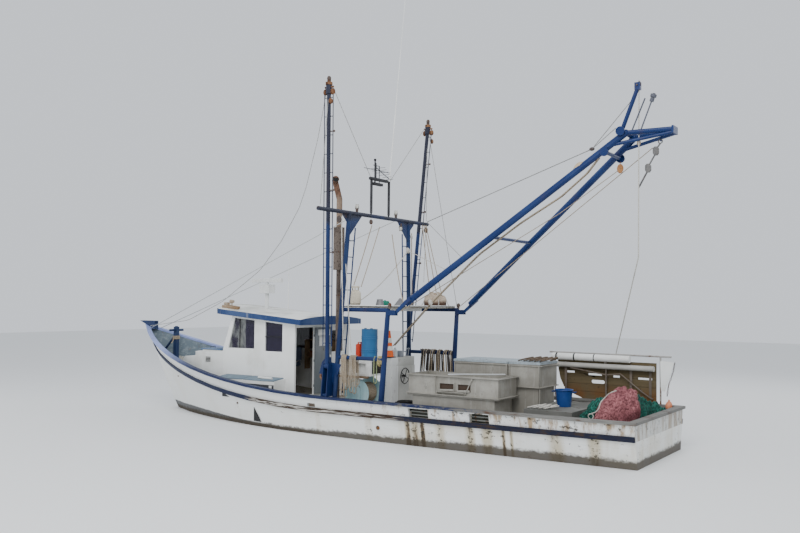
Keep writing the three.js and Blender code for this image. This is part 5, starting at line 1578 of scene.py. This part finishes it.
chute_y, chute_z = front + 0.03, ledge_z + 0.05
bar(chute, (-3.30, chute_y, chute_z), (-4.0, chute_y, chute_z), 0.012, 0.10, 0.003, 0.9)
settle(chute, "sorting_chute", aluminium)
# Behind the two mouths in the box's side lies a near-black plate: painted shade for the inside of the
# box.
mouths = bmesh.new()
block(mouths, (-4.15, box_outer - 0.075, 1.20), (-3.30, box_outer - 0.060, 1.41), 0.002)
mouth_painted_shade = worn_paint("mouth_painted_shade", (0.05, 0.032, 0.022), (0.09, 0.06, 0.04), GRIME, 0.3)
settle(mouths, "sorting_mouths", mouth_painted_shade)
lips = bmesh.new()
for start, end in ((-4.11, -3.81), (-3.70, -3.34)):
    bar(lips, (start, box_outer - 0.004, 1.250), (end, box_outer - 0.004, 1.235), 0.010, 0.05, 0.002)
settle(lips, "sorting_lips", aluminium)

# Fish box and hold coaming: flat bar welded round them in two tiers, on legs of pipe. Two
# bleached planks lie on the lid, and a grey hose lies across the sorting box.
WAIST, BRIM = 1.325, 1.80
SIDES = (-0.72, 0.25)
tiers = bmesh.new()
for node in ("sorting_box_aft", "hold_coaming"):
    aft, forward = [corner[0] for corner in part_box(node)]
    for z, wide, out in ((WAIST, LEDGE, 0.012), (BRIM, RIM, 0.008)):
        for y in (SIDES[0] - out, SIDES[1] + out):
            bar(tiers, (aft, y, z), (forward, y, z), 0.02, wide, 0.004, pi / 2)
        bar(tiers, (aft - out, SIDES[0], z), (aft - out, SIDES[1], z), 0.02, wide, 0.004, pi / 2)
    for x in (aft + 0.02, forward - 0.02):
        bar(tiers, (x, SIDES[1] + 0.004, WAIST), (x, SIDES[1] + 0.004, BRIM), 0.02, 0.05, 0.004)
        rod(tiers, (x, SIDES[1] - 0.030, 0.63), (x, SIDES[1] - 0.030, WAIST), 0.014)
settle(tiers, "fish_box_trim", aluminium)
planks = bmesh.new()
plank_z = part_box("hold_coaming")[1][2] + 0.020
for y, skew in ((-0.52, 0.03), (-0.30, -0.04)):
    bar(planks, (-3.20, y, plank_z), (-4.02, y + skew, plank_z), 0.12, 0.030, 0.003)
bleached_plank = worn_paint(
    "bleached_plank", (0.48, 0.45, 0.40), (0.58, 0.55, 0.50), (0.22, 0.16, 0.11), 0.3, 9.0,
)
settle(planks, "lid_planks", bleached_plank)
HOSE = (
    (-3.55, 1.235, 1.592), (-3.80, 1.10, 1.60), (-4.05, 0.88, 1.598), (-4.35, 0.62, 1.594),
    (-4.55, 0.40, 1.592),
)
hose_grey = worn_paint("hose_grey", (0.50, 0.52, 0.53), (0.62, 0.62, 0.60), GRIME, 0.15)
free_cord("box_hose", [Vector(point) for point in HOSE], 0.017, hose_grey)

# Tubs: moulded plastic with rolled rims. A blue one stands aft and a black one by the
# console. Each is a shell with a real wall.
TUB_SIDES = 36
TUB_FOOT, TUB_RIM = 0.15, 0.185


def tub(name, foot, tall, material):
    """A tub that widens to its rim, with a pair of grips on each side."""
    shell = bmesh.new()
    head = Vector(foot) + above(tall)
    rod(shell, foot, head, TUB_FOOT, TUB_SIDES, TUB_RIM)
    lid = max(shell.faces, key=lambda face: face.calc_center_median().z)
    bmesh.ops.delete(shell, geom=[lid], context="FACES_ONLY")
    bmesh.ops.recalc_face_normals(shell, faces=shell.faces)
    bmesh.ops.solidify(shell, geom=list(shell.faces), thickness=0.010)
    rim = []
    for turn in range(TUB_SIDES):
        angle = turn * 2 * pi / TUB_SIDES
        rim.append(head + Vector((cos(angle), sin(angle), 0)) * (TUB_RIM + 0.006))
    for start, end in zip(rim, rim[1:] + rim[:1]):
        rod(shell, start, end, 0.014, 8)
    for x in (TUB_RIM + 0.02, TUB_RIM + 0.07, -TUB_RIM - 0.02, -TUB_RIM - 0.07):
        grip = head + Vector((x, 0, -0.04))
        bar(shell, grip - Vector((0, 0.07, 0)), grip + Vector((0, 0.07, 0)), 0.014, 0.03)
    settle(shell, name, material)


def deck_height(x, y):
    """The height of the deck's planks at a place."""
    return meets(deck_skin, (x, y, 2.0), (0, 0, -1)).z


deck_skin = solid_skin("deck")
tub_blue = worn_paint(
    "tub_blue", (0.010, 0.040, 0.17), (0.025, 0.075, 0.24), (0.02, 0.03, 0.08), 0.08, 8.0, 0.35,
)
tub_black = black_rubber("tub_black", 0.02)
tub("blue_tub", (-5.90, 0.24, 0.962), 0.36, tub_blue)
tub("black_tub", (-1.98, 0.55, deck_height(-1.98, 0.55) + 0.002), 0.22, tub_black)

# Ropes thrown down in loose overlapping loops: cream warp by the aft box, brown line on
# its lid. Each row is one rope with bare ends, and every loop lies over the next.
LOOP_STEPS = 20


def thrown_loops(name, start, count, ring, drift, radius, material, phase):
    """One rope thrown down in a row of loops that runs aft from the start."""
    path = []
    for step in range(int(count * LOOP_STEPS) + 1):
        angle = step * 2 * pi / LOOP_STEPS
        swell = ring * (1 + 0.06 * sin(angle * 0.37 + phase))
        hump = 2.3 * radius * (1 - cos(angle))
        x = swell * (cos(angle) - 1) - drift * step / LOOP_STEPS
        path.append(Vector(start) + Vector((x, swell * 0.9 * sin(angle), radius + 0.002 + hump)))
    free_cord(name, path, radius, material)


line_brown = stranded("line_brown", (0.22, 0.165, 0.12), (0.07, 0.05, 0.035))
hatch_top, lid_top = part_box("aft_hatch")[1][2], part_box("sorting_box_aft")[1][2]
for row, (x, y, count) in enumerate(((-5.38, 0.98, 3.5), (-5.44, 0.76, 3.4))):
    name, start = "rope_pile_%d" % (row + 1), (x, y, hatch_top)
    thrown_loops(name, start, count, 0.095, 0.122, 0.0145, rope_white, row * 2.0)
for row, (x, y, count) in enumerate(((-4.72, 0.06, 4.6), (-4.68, -0.18, 4.9), (-4.78, -0.42, 4.0))):
    name, start = "lid_pile_%d" % (row + 1), (x, y, lid_top)
    thrown_loops(name, start, count, 0.105, 0.134, 0.016, line_brown, row * 1.7)

# Trawl board: planks bolted between iron straps, with slots that let the water through.
# It leans on the starboard rail, brown with wet wood and streaked orange with rust.


def board_brown():
    material, place = begin("board_brown")
    z = axis(place, "Z")
    grain = cloud(place, 1.0, 6, (1.2, 20, 22), 0.65)
    specks = cloud(place, 9.0, 6, (0.6, 1, 1), 0.7)
    patches = cloud(place, 1.5, 4)
    colour = tint(grain, (0.075, 0.056, 0.030), (0.155, 0.120, 0.066))
    low = between(z + (patches - 0.5) * 0.5, 1.45, 1.05)
    rusty = tint(specks, (0.11, 0.048, 0.018), (0.20, 0.095, 0.035))
    colour = tint(low * between(patches, 0.44, 0.64), colour, rusty)
    colour = tint(between(specks, 0.56, 0.68) * 0.6, colour, (0.03, 0.022, 0.016))
    gaps = seams(z, 0.185, 0.008)
    colour = tint(gaps * 0.4, colour, (0.03, 0.022, 0.015))
    return close(material, place, colour, 0.8, height=grain - gaps, depth=0.004)


paint(board_brown(), "trawl_board")
rack_galvanised = worn_paint(
    "rack_galvanised", (0.34, 0.33, 0.31), (0.46, 0.44, 0.41), RUST, 0.45, 9.0, 0.6, 0.3,
)
paint(rack_galvanised, "trawl_rack")
board_low, board_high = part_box("trawl_board")
face_y = board_high[1] + 0.004
bracket_y = face_y + 0.06
# The bracket's bends and the feet it is welded to: [distance along the boat, height].
BRACKET = ((-5.30, 1.665), (-5.49, 1.64), (-6.18, 1.54), (-6.52, 1.58), (-6.99, 1.22), (-7.25, 1.05))
BRACKET_FEET = ((-5.30, 1.665), (-6.99, 1.22), (-6.17, 1.05), (-7.25, 1.05))
irons = bmesh.new()
for (x0, z0), (x1, z1) in zip(BRACKET, BRACKET[1:]):
    rod(irons, (x0, bracket_y, z0), (x1, bracket_y, z1), 0.016)
rod(irons, (-6.17, bracket_y, 1.05), (-6.17, bracket_y, 1.90), 0.017)
for x, z in BRACKET_FEET:
    rod(irons, (x, face_y - 0.01, z), (x, bracket_y, z), 0.02)
for x in (-5.15, -6.75, -7.20):
    strap_foot, strap_head = board_low[2] + 0.12, board_high[2] - 0.05
    bar(irons, (x, face_y + 0.004, strap_foot), (x, face_y + 0.004, strap_head), 0.06, 0.010)
    for at in range(5):
        ball(irons, (x, face_y + 0.012, strap_foot + 0.08 + at * 0.15), 0.014, (1, 0.6, 1), None, 4)
board_iron = worn_paint(
    "board_iron", (0.13, 0.105, 0.085), (0.21, 0.175, 0.14), (0.10, 0.05, 0.025), 0.4,
)
settle(irons, "board_irons", board_iron)

# White and grey plastic pipes lie on the rack above the board, under black rubber straps.
pipe_white = worn_paint(
    "pipe_white", (0.80, 0.80, 0.78), (0.68, 0.68, 0.65), (0.34, 0.30, 0.24), 0.10, 8.0, 0.35,
)
paint(pipe_white, "white_pipe")
pipe_grey = worn_paint(
    "pipe_grey", (0.36, 0.35, 0.32), (0.48, 0.47, 0.43), (0.16, 0.12, 0.09), 0.25, 8.0, 0.5,
)
paint(pipe_grey, "grey_pipe")
straps = bmesh.new()
pipe = middle_of("white_pipe")
pipe_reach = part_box("white_pipe")[1][2] - pipe.z + 0.004
for x in (-4.95, -5.40, -5.90, -6.55):
    rod(straps, (x + 0.012, pipe.y, pipe.z), (x - 0.012, pipe.y, pipe.z), pipe_reach, 32)
settle(straps, "pipe_straps", gasket)

# A white board is lashed aslant to the after end of the rack, with a chain down its edge.
plank = bmesh.new()
corners = ((-7.44, -1.62, 1.93), (-7.76, -1.62, 1.90), (-7.58, -1.51, 1.25), (-7.49, -1.51, 1.26))
face = plank.faces.new([plank.verts.new(corner) for corner in corners])
bmesh.ops.solidify(plank, geom=[face], thickness=0.018)
settle(plank, "slanted_board", house_white("slanted_white", 0.6))

# Each link of the chain is a bent ring of wire, turned a quarter from the last one.
LINK, LINK_WIRE = 0.035, 0.006
CHAIN = ((-7.775, -1.60, 1.90), (-7.75, -1.57, 1.70), (-7.66, -1.52, 1.40), (-7.63, -1.50, 1.15))
ring = []
for step in range(8):
    ring.append(Vector((cos(step * pi / 4) * LINK * 0.42, 0, sin(step * pi / 4) * LINK * 0.85)))
links = bmesh.new()
flip = 0
for start, end in zip(CHAIN, CHAIN[1:]):
    start, end = Vector(start), Vector(end)
    count = round((end - start).length / (LINK * 1.45))
    for at in range(count):
        spot = Matrix.Translation(start.lerp(end, (at + 0.5) / count))
        shape = spot @ aimed(start, end) @ Matrix.Rotation(flip * pi / 2, 4, "Z")
        for first, last in zip(ring, ring[1:] + ring[:1]):
            rod(links, shape @ first, shape @ last, LINK_WIRE, 6)
        flip = 1 - flip
settle(links, "board_chain", iron)

# Net heap: a trawl bag dumped on the after deck, green twine netting with shaggy pink
# chafing gear of cut rope over it. It is soft: it lies flat below and lumps up on top.


def green_netting():
    material, place = begin("green_netting")
    light, shade, dark = (0.022, 0.150, 0.110), (0.0121, 0.0825, 0.0605), (0.004, 0.022, 0.018)
    x, y, z = [axis(place, name) for name in "XYZ"]
    folds = cloud(place, 4.0, 6)
    warp = folds * 0.10
    first = seams(x + y * 0.6 + z + warp, 0.045, 0.012)
    second = seams(x - y * 0.6 - z - warp, 0.045, 0.012)
    cords = first + second - first * second
    # The holes between the cords are painted near black as the shade inside the heap. The twine goes in
    # patches between a lit and a shaded copy of its green: painted light and shade.
    colour = tint(cords, dark, tint(between(folds, 0.40, 0.62), light, shade))
    return close(material, place, colour, 0.9, height=cords + folds, depth=0.012)


def shaggy_pink():
    material, place = begin("shaggy_pink")
    strands = cloud(place, 26.0, 6, rough=0.75)
    patches = cloud(place, 2.6, 4)
    colour = tint(between(strands, 0.36, 0.62), (0.10, 0.030, 0.036), (0.44, 0.17, 0.18))
    colour = tint(between(patches, 0.46, 0.66) * 0.45, colour, (0.10, 0.025, 0.035))
    return close(material, place, colour, 0.95, height=strands, depth=0.014)


def lump(bm, middle, size, floor_z, folds, seed):
    """Adds a soft mound: an egg cut flat at the floor, its skin folded and creased."""
    made = bmesh.ops.create_icosphere(bm, subdivisions=5, radius=1.0)["verts"]
    for vert in made:
        x, y, z = vert.co
        crease = abs(sin(x * 4.1 + z * 3.3 + seed)) + abs(sin(y * 5.7 - z * 2.9 + seed * 1.7))
        crease += 0.6 * abs(sin(x * 11.0 + y * 9.0 + seed))
        grow = 1 - folds + folds * crease * 0.42
        vert.co = Vector(middle) + vert.co * Vector(size) * grow
        if vert.co.z < floor_z:
            vert.co.z = floor_z + (vert.co.z - floor_z) * 0.01


heap_floor = deck_height(-7.1, 0.6) + 0.004
PINK_LEAN = 0.40
pink_gear = shaggy_pink()
pink = bmesh.new()
lump(pink, (-7.10, 0.76, heap_floor + 0.02), (0.50, 0.44, 0.93), heap_floor, 0.18, 0.4)
for vert in pink.verts:
    vert.co.x -= PINK_LEAN * max(vert.co.z - heap_floor, 0.0)
pink_net = settle(pink, "net_pink", pink_gear, sharp=80)
green = bmesh.new()
for middle, size, folds, seed in (
    ((-6.86, 0.64), (0.34, 0.50, 0.66), 0.20, 2.0),
    ((-6.68, 0.90), (0.20, 0.24, 0.40), 0.22, 5.2),
    ((-7.42, 0.24), (0.36, 0.52, 0.74), 0.22, 3.1),
    ((-7.46, -0.32), (0.32, 0.50, 0.60), 0.24, 4.4),
    ((-7.12, 0.10), (0.40, 0.52, 0.48), 0.26, 1.3),
    ((-7.50, -0.82), (0.28, 0.42, 0.50), 0.28, 6.3),
    ((-7.58, -1.18), (0.20, 0.30, 0.34), 0.28, 0.7),
):
    lump(green, (*middle, heap_floor + 0.02), size, heap_floor, folds, seed)
green_net = settle(green, "net_green", green_netting(), sharp=80)
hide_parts("net_heap")
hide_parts("net_heap")

# Tufts: ends of pink rope stand out all over the chafing gear.
TUFTS = 3000
GOLDEN_TURN = 2.39996
tufts = bmesh.new()
pink_skin = skin_of(pink_net)
pink_core = Vector((-7.42, 0.72, heap_floor + 0.30))
for at in range(TUFTS):
    turn, rise = at * GOLDEN_TURN, max(1 - (at + 0.5) / TUFTS * 1.02, 0.005)
    level = (1 - rise * rise) ** 0.5
    way = Vector((cos(turn) * level, sin(turn) * level, rise))
    spot, normal = pink_skin.ray_cast(pink_core, way)[:2]
    if spot:
        drift = Vector((sin(at * 1.7), cos(at * 2.3), -0.9 + 0.5 * sin(at * 0.7)))
        tip = spot + normal * 0.014 + drift * 0.020
        tip.z = max(tip.z, heap_floor)
        rod(tufts, spot - normal * 0.006, tip, 0.006, 3, 0.002)
settle(tufts, "net_tufts", pink_gear, sharp=80)

# A white head rope runs up the bag's edge, with bights of it standing out from the net.
# Both are set on the net's port side: [distance along the boat, height].
HEAD_ROPE = (
    (-6.78, 0.94), (-6.88, 0.97), (-6.96, 1.03), (-6.99, 1.10), (-6.99, 1.18), (-7.00, 1.25),
    (-7.06, 1.33), (-7.16, 1.39), (-7.30, 1.44),
)
BIGHTS_AT = ((-6.83, 0.90), (-6.99, 1.25), (-7.10, 1.36))
heap_skin = skin_of(pink_net, green_net)


def on_net(places, out):
    """The places that meet the port face of the net heap, each a little out from it."""
    found = []
    for x, z in places:
        spot, normal = heap_skin.ray_cast(Vector((x, 3.0, z)), Vector((0, -1, 0)))[:2]
        if spot:
            found.append(spot + normal * out)
    return found


rope("net_head_rope", [on_net(HEAD_ROPE, 0.012)], 0.013, rope_white)
bights = []
for middle in on_net(BIGHTS_AT, 0.02):
    bight = []
    for turn in range(14):
        angle = turn * pi / 6
        bight.append(middle + Vector((0.055 * cos(angle), 0.02 * sin(angle * 2), 0.055 * sin(angle))))
    bights.append(bight)
rope("net_bights", bights, 0.009, rope_white)
floats = bmesh.new()
float_at = Vector((-7.68, -1.46, heap_floor + 0.34))
ball(floats, float_at, 0.075, (1, 1, 1.45), Matrix.Rotation(0.5, 4, "X"), 12)
rod(floats, float_at + above(0.09), float_at + Vector((0, -0.02, 0.13)), 0.02, 12)
float_orange = worn_paint(
    "float_orange", (0.62, 0.20, 0.09), (0.70, 0.38, 0.26), (0.30, 0.10, 0.05), 0.12, 10.0, 0.5,
)
settle(floats, "net_float", float_orange)

# Boom: two long blue pipes that meet in a welded head, with a spike and a jib over the
# stern. Lattice bars tie the pipes together, and lamps, eyes and blocks hang at its head.
boom_blue = worn_paint(
    "boom_blue", (0.006, 0.022, 0.095), (0.014, 0.040, 0.140), (0.09, 0.045, 0.03), 0.16, 5.0, 0.38,
)
paint(boom_blue, "boom")
tackle_metal = worn_paint(
    "tackle_metal", (0.10, 0.10, 0.10), (0.22, 0.21, 0.20), (0.12, 0.06, 0.035), 0.40, 14.0, 0.5, 0.2,
)
paint(tackle_metal, "boom_tackle")
head_gear = bmesh.new()
pulley(head_gear, (-7.585, 0.30, 7.90), 0.07, 0.5)
rod(head_gear, (-7.56, 0.22, 7.80), (-7.56, 0.38, 7.80), 0.018)
settle(head_gear, "spike_shackle", iron, "boom")
LAMP_TIP = Vector((-7.82, 0.22, 7.44))
lamp_heads = bmesh.new()
for foot, tip in (((-7.42, 0.273, 6.85), (-7.70, 0.26, 7.52)), ((-7.60, 0.233, 6.86), LAMP_TIP)):
    rod(lamp_heads, foot, tip, 0.016)
for (x0, z0), (x1, z1), radius, sides in (
    ((0, 0), (-0.03, 0.08), 0.045, 18),
    ((-0.035, 0.09), (-0.055, 0.15), 0.065, 18),
    ((-0.055, 0.15), (-0.06, 0.17), 0.03, 12),
):
    rod(lamp_heads, LAMP_TIP + Vector((x0, 0, z0)), LAMP_TIP + Vector((x1, 0, z1)), radius, sides)
lamp_black = worn_paint("lamp_black", (0.03, 0.035, 0.05), (0.12, 0.13, 0.16), RUST, 0.25)
settle(lamp_heads, "boom_lamps", lamp_black, "boom")
hung = bmesh.new()
pulley(hung, (-7.02, -0.16, 6.27), 0.11, 0.4)
block_wood = worn_paint(
    "block_wood", (0.36, 0.16, 0.06), (0.50, 0.28, 0.13), (0.10, 0.05, 0.03), 0.3, 12.0,
)
settle(hung, "boom_wood_block", block_wood, "boom")
small = bmesh.new()
pulley(small, (-7.50, 0.05, 6.70), 0.06, 0.9)
ball(small, (-6.35, 0.52, 6.13), 0.10, (1.5, 0.8, 1.0), Matrix.Rotation(0.7, 4, "Y"), 8)
block_tan = worn_paint("block_tan", (0.44, 0.34, 0.22), (0.58, 0.48, 0.34), GRIME, 0.3, 12.0)
settle(small, "boom_small_blocks", block_tan, "boom")

# Running rigging: wire and rope led between the mast, the boom and the gallows. What runs
# between two bodies is made in place as one tube, and what starts and ends on one rides on it.
lift_end = (-6.44, 0.0, 6.60)
mast_end = (MAST_X, -2.28, 5.42)
gallows_head = (-2.20, -GALLOWS_Y, 3.07)
knot_at = (-0.84, -1.26, 4.57)
# Each line to the boom: [name, the corners it is led round, steps in each run, radius, material].
for name, corners, steps, radius, material in (
    ("topping_lift", (mast_end, lift_end), [20], 0.011, wire_grey),
    ("boom_fall", ((-6.40, -1.66, 2.05), (-7.47, 0.0, 4.20), (-7.585, 0.30, 7.80)), [8, 12],
     0.013, rope_white),
    ("cargo_whip", (gallows_head, (-7.79, 0.03, 6.50)), [20], 0.009, rope_buff),
    ("wood_block_fall", ((-2.38, 1.40, 2.99), (-5.78, 0.20, 5.20), (-7.03, -0.16, 6.14)), [12, 6],
     0.009, rope_buff),
    ("cross_stay", (mast_end, (-3.73, 0.97, 4.22)), [14], 0.007, wire_grey),
    ("knot_tail", (knot_at, (-3.36, 1.10, 3.96)), [14], 0.008, rope_white),
    ("boom_guy", ((MAST_X, -2.21, 5.10), (-2.93, 1.30, 3.66)), [14], 0.006, wire_grey),
):
    stay(name, corners, steps, radius, material)
guy_head = HEADS["outrigger_starboard"][0] + Vector((-0.03, 0.02, -0.15))
stay("aft_guy_starboard", ((-2.16, -GALLOWS_Y, 3.06), guy_head), [16],
     0.009, wire_grey)
bridle = [[lift_end, (-7.16, 0.52, 6.90)], [lift_end, (-7.52, 0.30, 7.60)]]
rope("lift_bridle", bridle, 0.009, wire_grey, "boom", smooth=False)
lift_eye = bmesh.new()
ball(lift_eye, lift_end, 0.035, (1.8, 1, 1.2), None, 8)
settle(lift_eye, "lift_shackle", iron, "boom")

# The boom's main fall is three strands of buff rope that run together from the winch.
BUNDLE = (
    (-1.45, 0.28, 2.14), (-3.05, 1.20, 3.17), (-4.14, 0.90, 4.30), (-5.09, 0.74, 4.98),
    (-5.97, 0.60, 5.52), (-6.52, 0.48, 6.01), (-6.76, 0.42, 6.33),
)
for strand, drift in enumerate(((0, 0, 0), (0.012, 0.022, -0.02), (-0.01, -0.022, -0.012))):
    corners = [Vector(corner) + Vector(drift) for corner in BUNDLE]
    stay("rope_bundle_%d" % (strand + 1), corners, [5] * 6, 0.011, rope_buff,
         (BUNDLE[0], BUNDLE[-1]), True)

# Falls that hang from the mast to the canopy and the gallows' bar, and the knots in them.
# Each slack one: [its head, its foot, how far it sags].
falls = [[(MAST_X, -1.49, 5.05), (-0.83, -1.49, 3.11)]]
for head, foot, sag in (
    ((MAST_X, 0.36, 5.12), (-0.73, 1.0, 3.60), 0.03),
    ((MAST_X, 0.02, 5.10), (-0.95, 1.0, 3.56), 0.02),
    ((MAST_X, -0.55, 4.95), (-2.10, 0.85, 3.11), 0.10),
    ((MAST_X, -2.02, 5.38), (-1.62, -1.16, 3.26), 0.03),
    ((MAST_X, -2.12, 5.38), (-1.80, -1.20, 3.30), 0.04),
    ((MAST_X, -2.20, 5.38), (-1.96, -1.22, 3.24), 0.02),
):
    falls.append(slack(head, foot, sag))
rope("mast_falls", falls, 0.012, rope_buff)
rope("bar_falls", [
    [(MAST_X, 1.62, 5.24), (-0.84, 1.62, 3.6), (-0.90, 1.62, 1.99)],
    [(-0.90, 1.56, 4.1), (-1.02, 1.60, 3.0), (-1.13, 1.62, 1.99)],
    slack(knot_at, (-0.95, 1.0, 3.24), 0.12, 12),
], 0.012, rope_white)
knots = bmesh.new()
knot_turn = Matrix.Rotation(0.4, 4, "Y")
for spot, size in ((knot_at, 0.055), ((-3.05, 1.20, 3.20), 0.05), ((MAST_X, -1.49, 4.95), 0.035)):
    ball(knots, spot, size, (1, 0.9, 1.5), knot_turn, 8)
settle(knots, "line_knots", rope_white)

# Every solid keeps its shape, with its facets smoothed and its sharp edges eased.


def smooth_faces():
    """Geometry nodes that merge loose triangles and keep only sharp edges sharp."""
    group = bpy.data.node_groups.new("smooth_faces", "GeometryNodeTree")
    group.interface.new_socket("Geometry", in_out="INPUT", socket_type="NodeSocketGeometry")
    group.interface.new_socket("Geometry", in_out="OUTPUT", socket_type="NodeSocketGeometry")
    start = group.nodes.new("NodeGroupInput")
    end = group.nodes.new("NodeGroupOutput")
    merge = group.nodes.new("GeometryNodeMergeByDistance")
    merge.inputs["Distance"].default_value = 0.00005
    angle = group.nodes.new("GeometryNodeInputMeshEdgeAngle")
    sharp = group.nodes.new("FunctionNodeCompare")
    sharp.data_type = "FLOAT"
    sharp.operation = "GREATER_THAN"
    sharp.inputs["B"].default_value = radians(28)
    normals = group.nodes.new("GeometryNodeSetMeshNormal")
    normals.mode = "SHARPNESS"
    link = group.links.new
    link(start.outputs[0], merge.inputs["Geometry"])
    link(merge.outputs[0], normals.inputs["Mesh"])
    link(angle.outputs["Unsigned Angle"], sharp.inputs["A"])
    link(sharp.outputs[0], normals.inputs["Edge Sharpness"])
    link(normals.outputs[0], end.inputs[0])
    return group


smoothing = smooth_faces()
EDGE = 0.003
EASED = {"hull": 0.0, "bulwark": 0.004, "deck": 0.0, "net_heap": 0.0}
for name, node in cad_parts.items():
    skin = node.modifiers.new("smooth", "NODES")
    skin.node_group = smoothing
    if EASED.get(name, EDGE):
        ease = node.modifiers.new("ease", "BEVEL")
        ease.width = EASED.get(name, EDGE)
        ease.segments = 2
        ease.limit_method = "ANGLE"
        ease.angle_limit = radians(40)
        ease.use_clamp_overlap = True
        ease.harden_normals = True

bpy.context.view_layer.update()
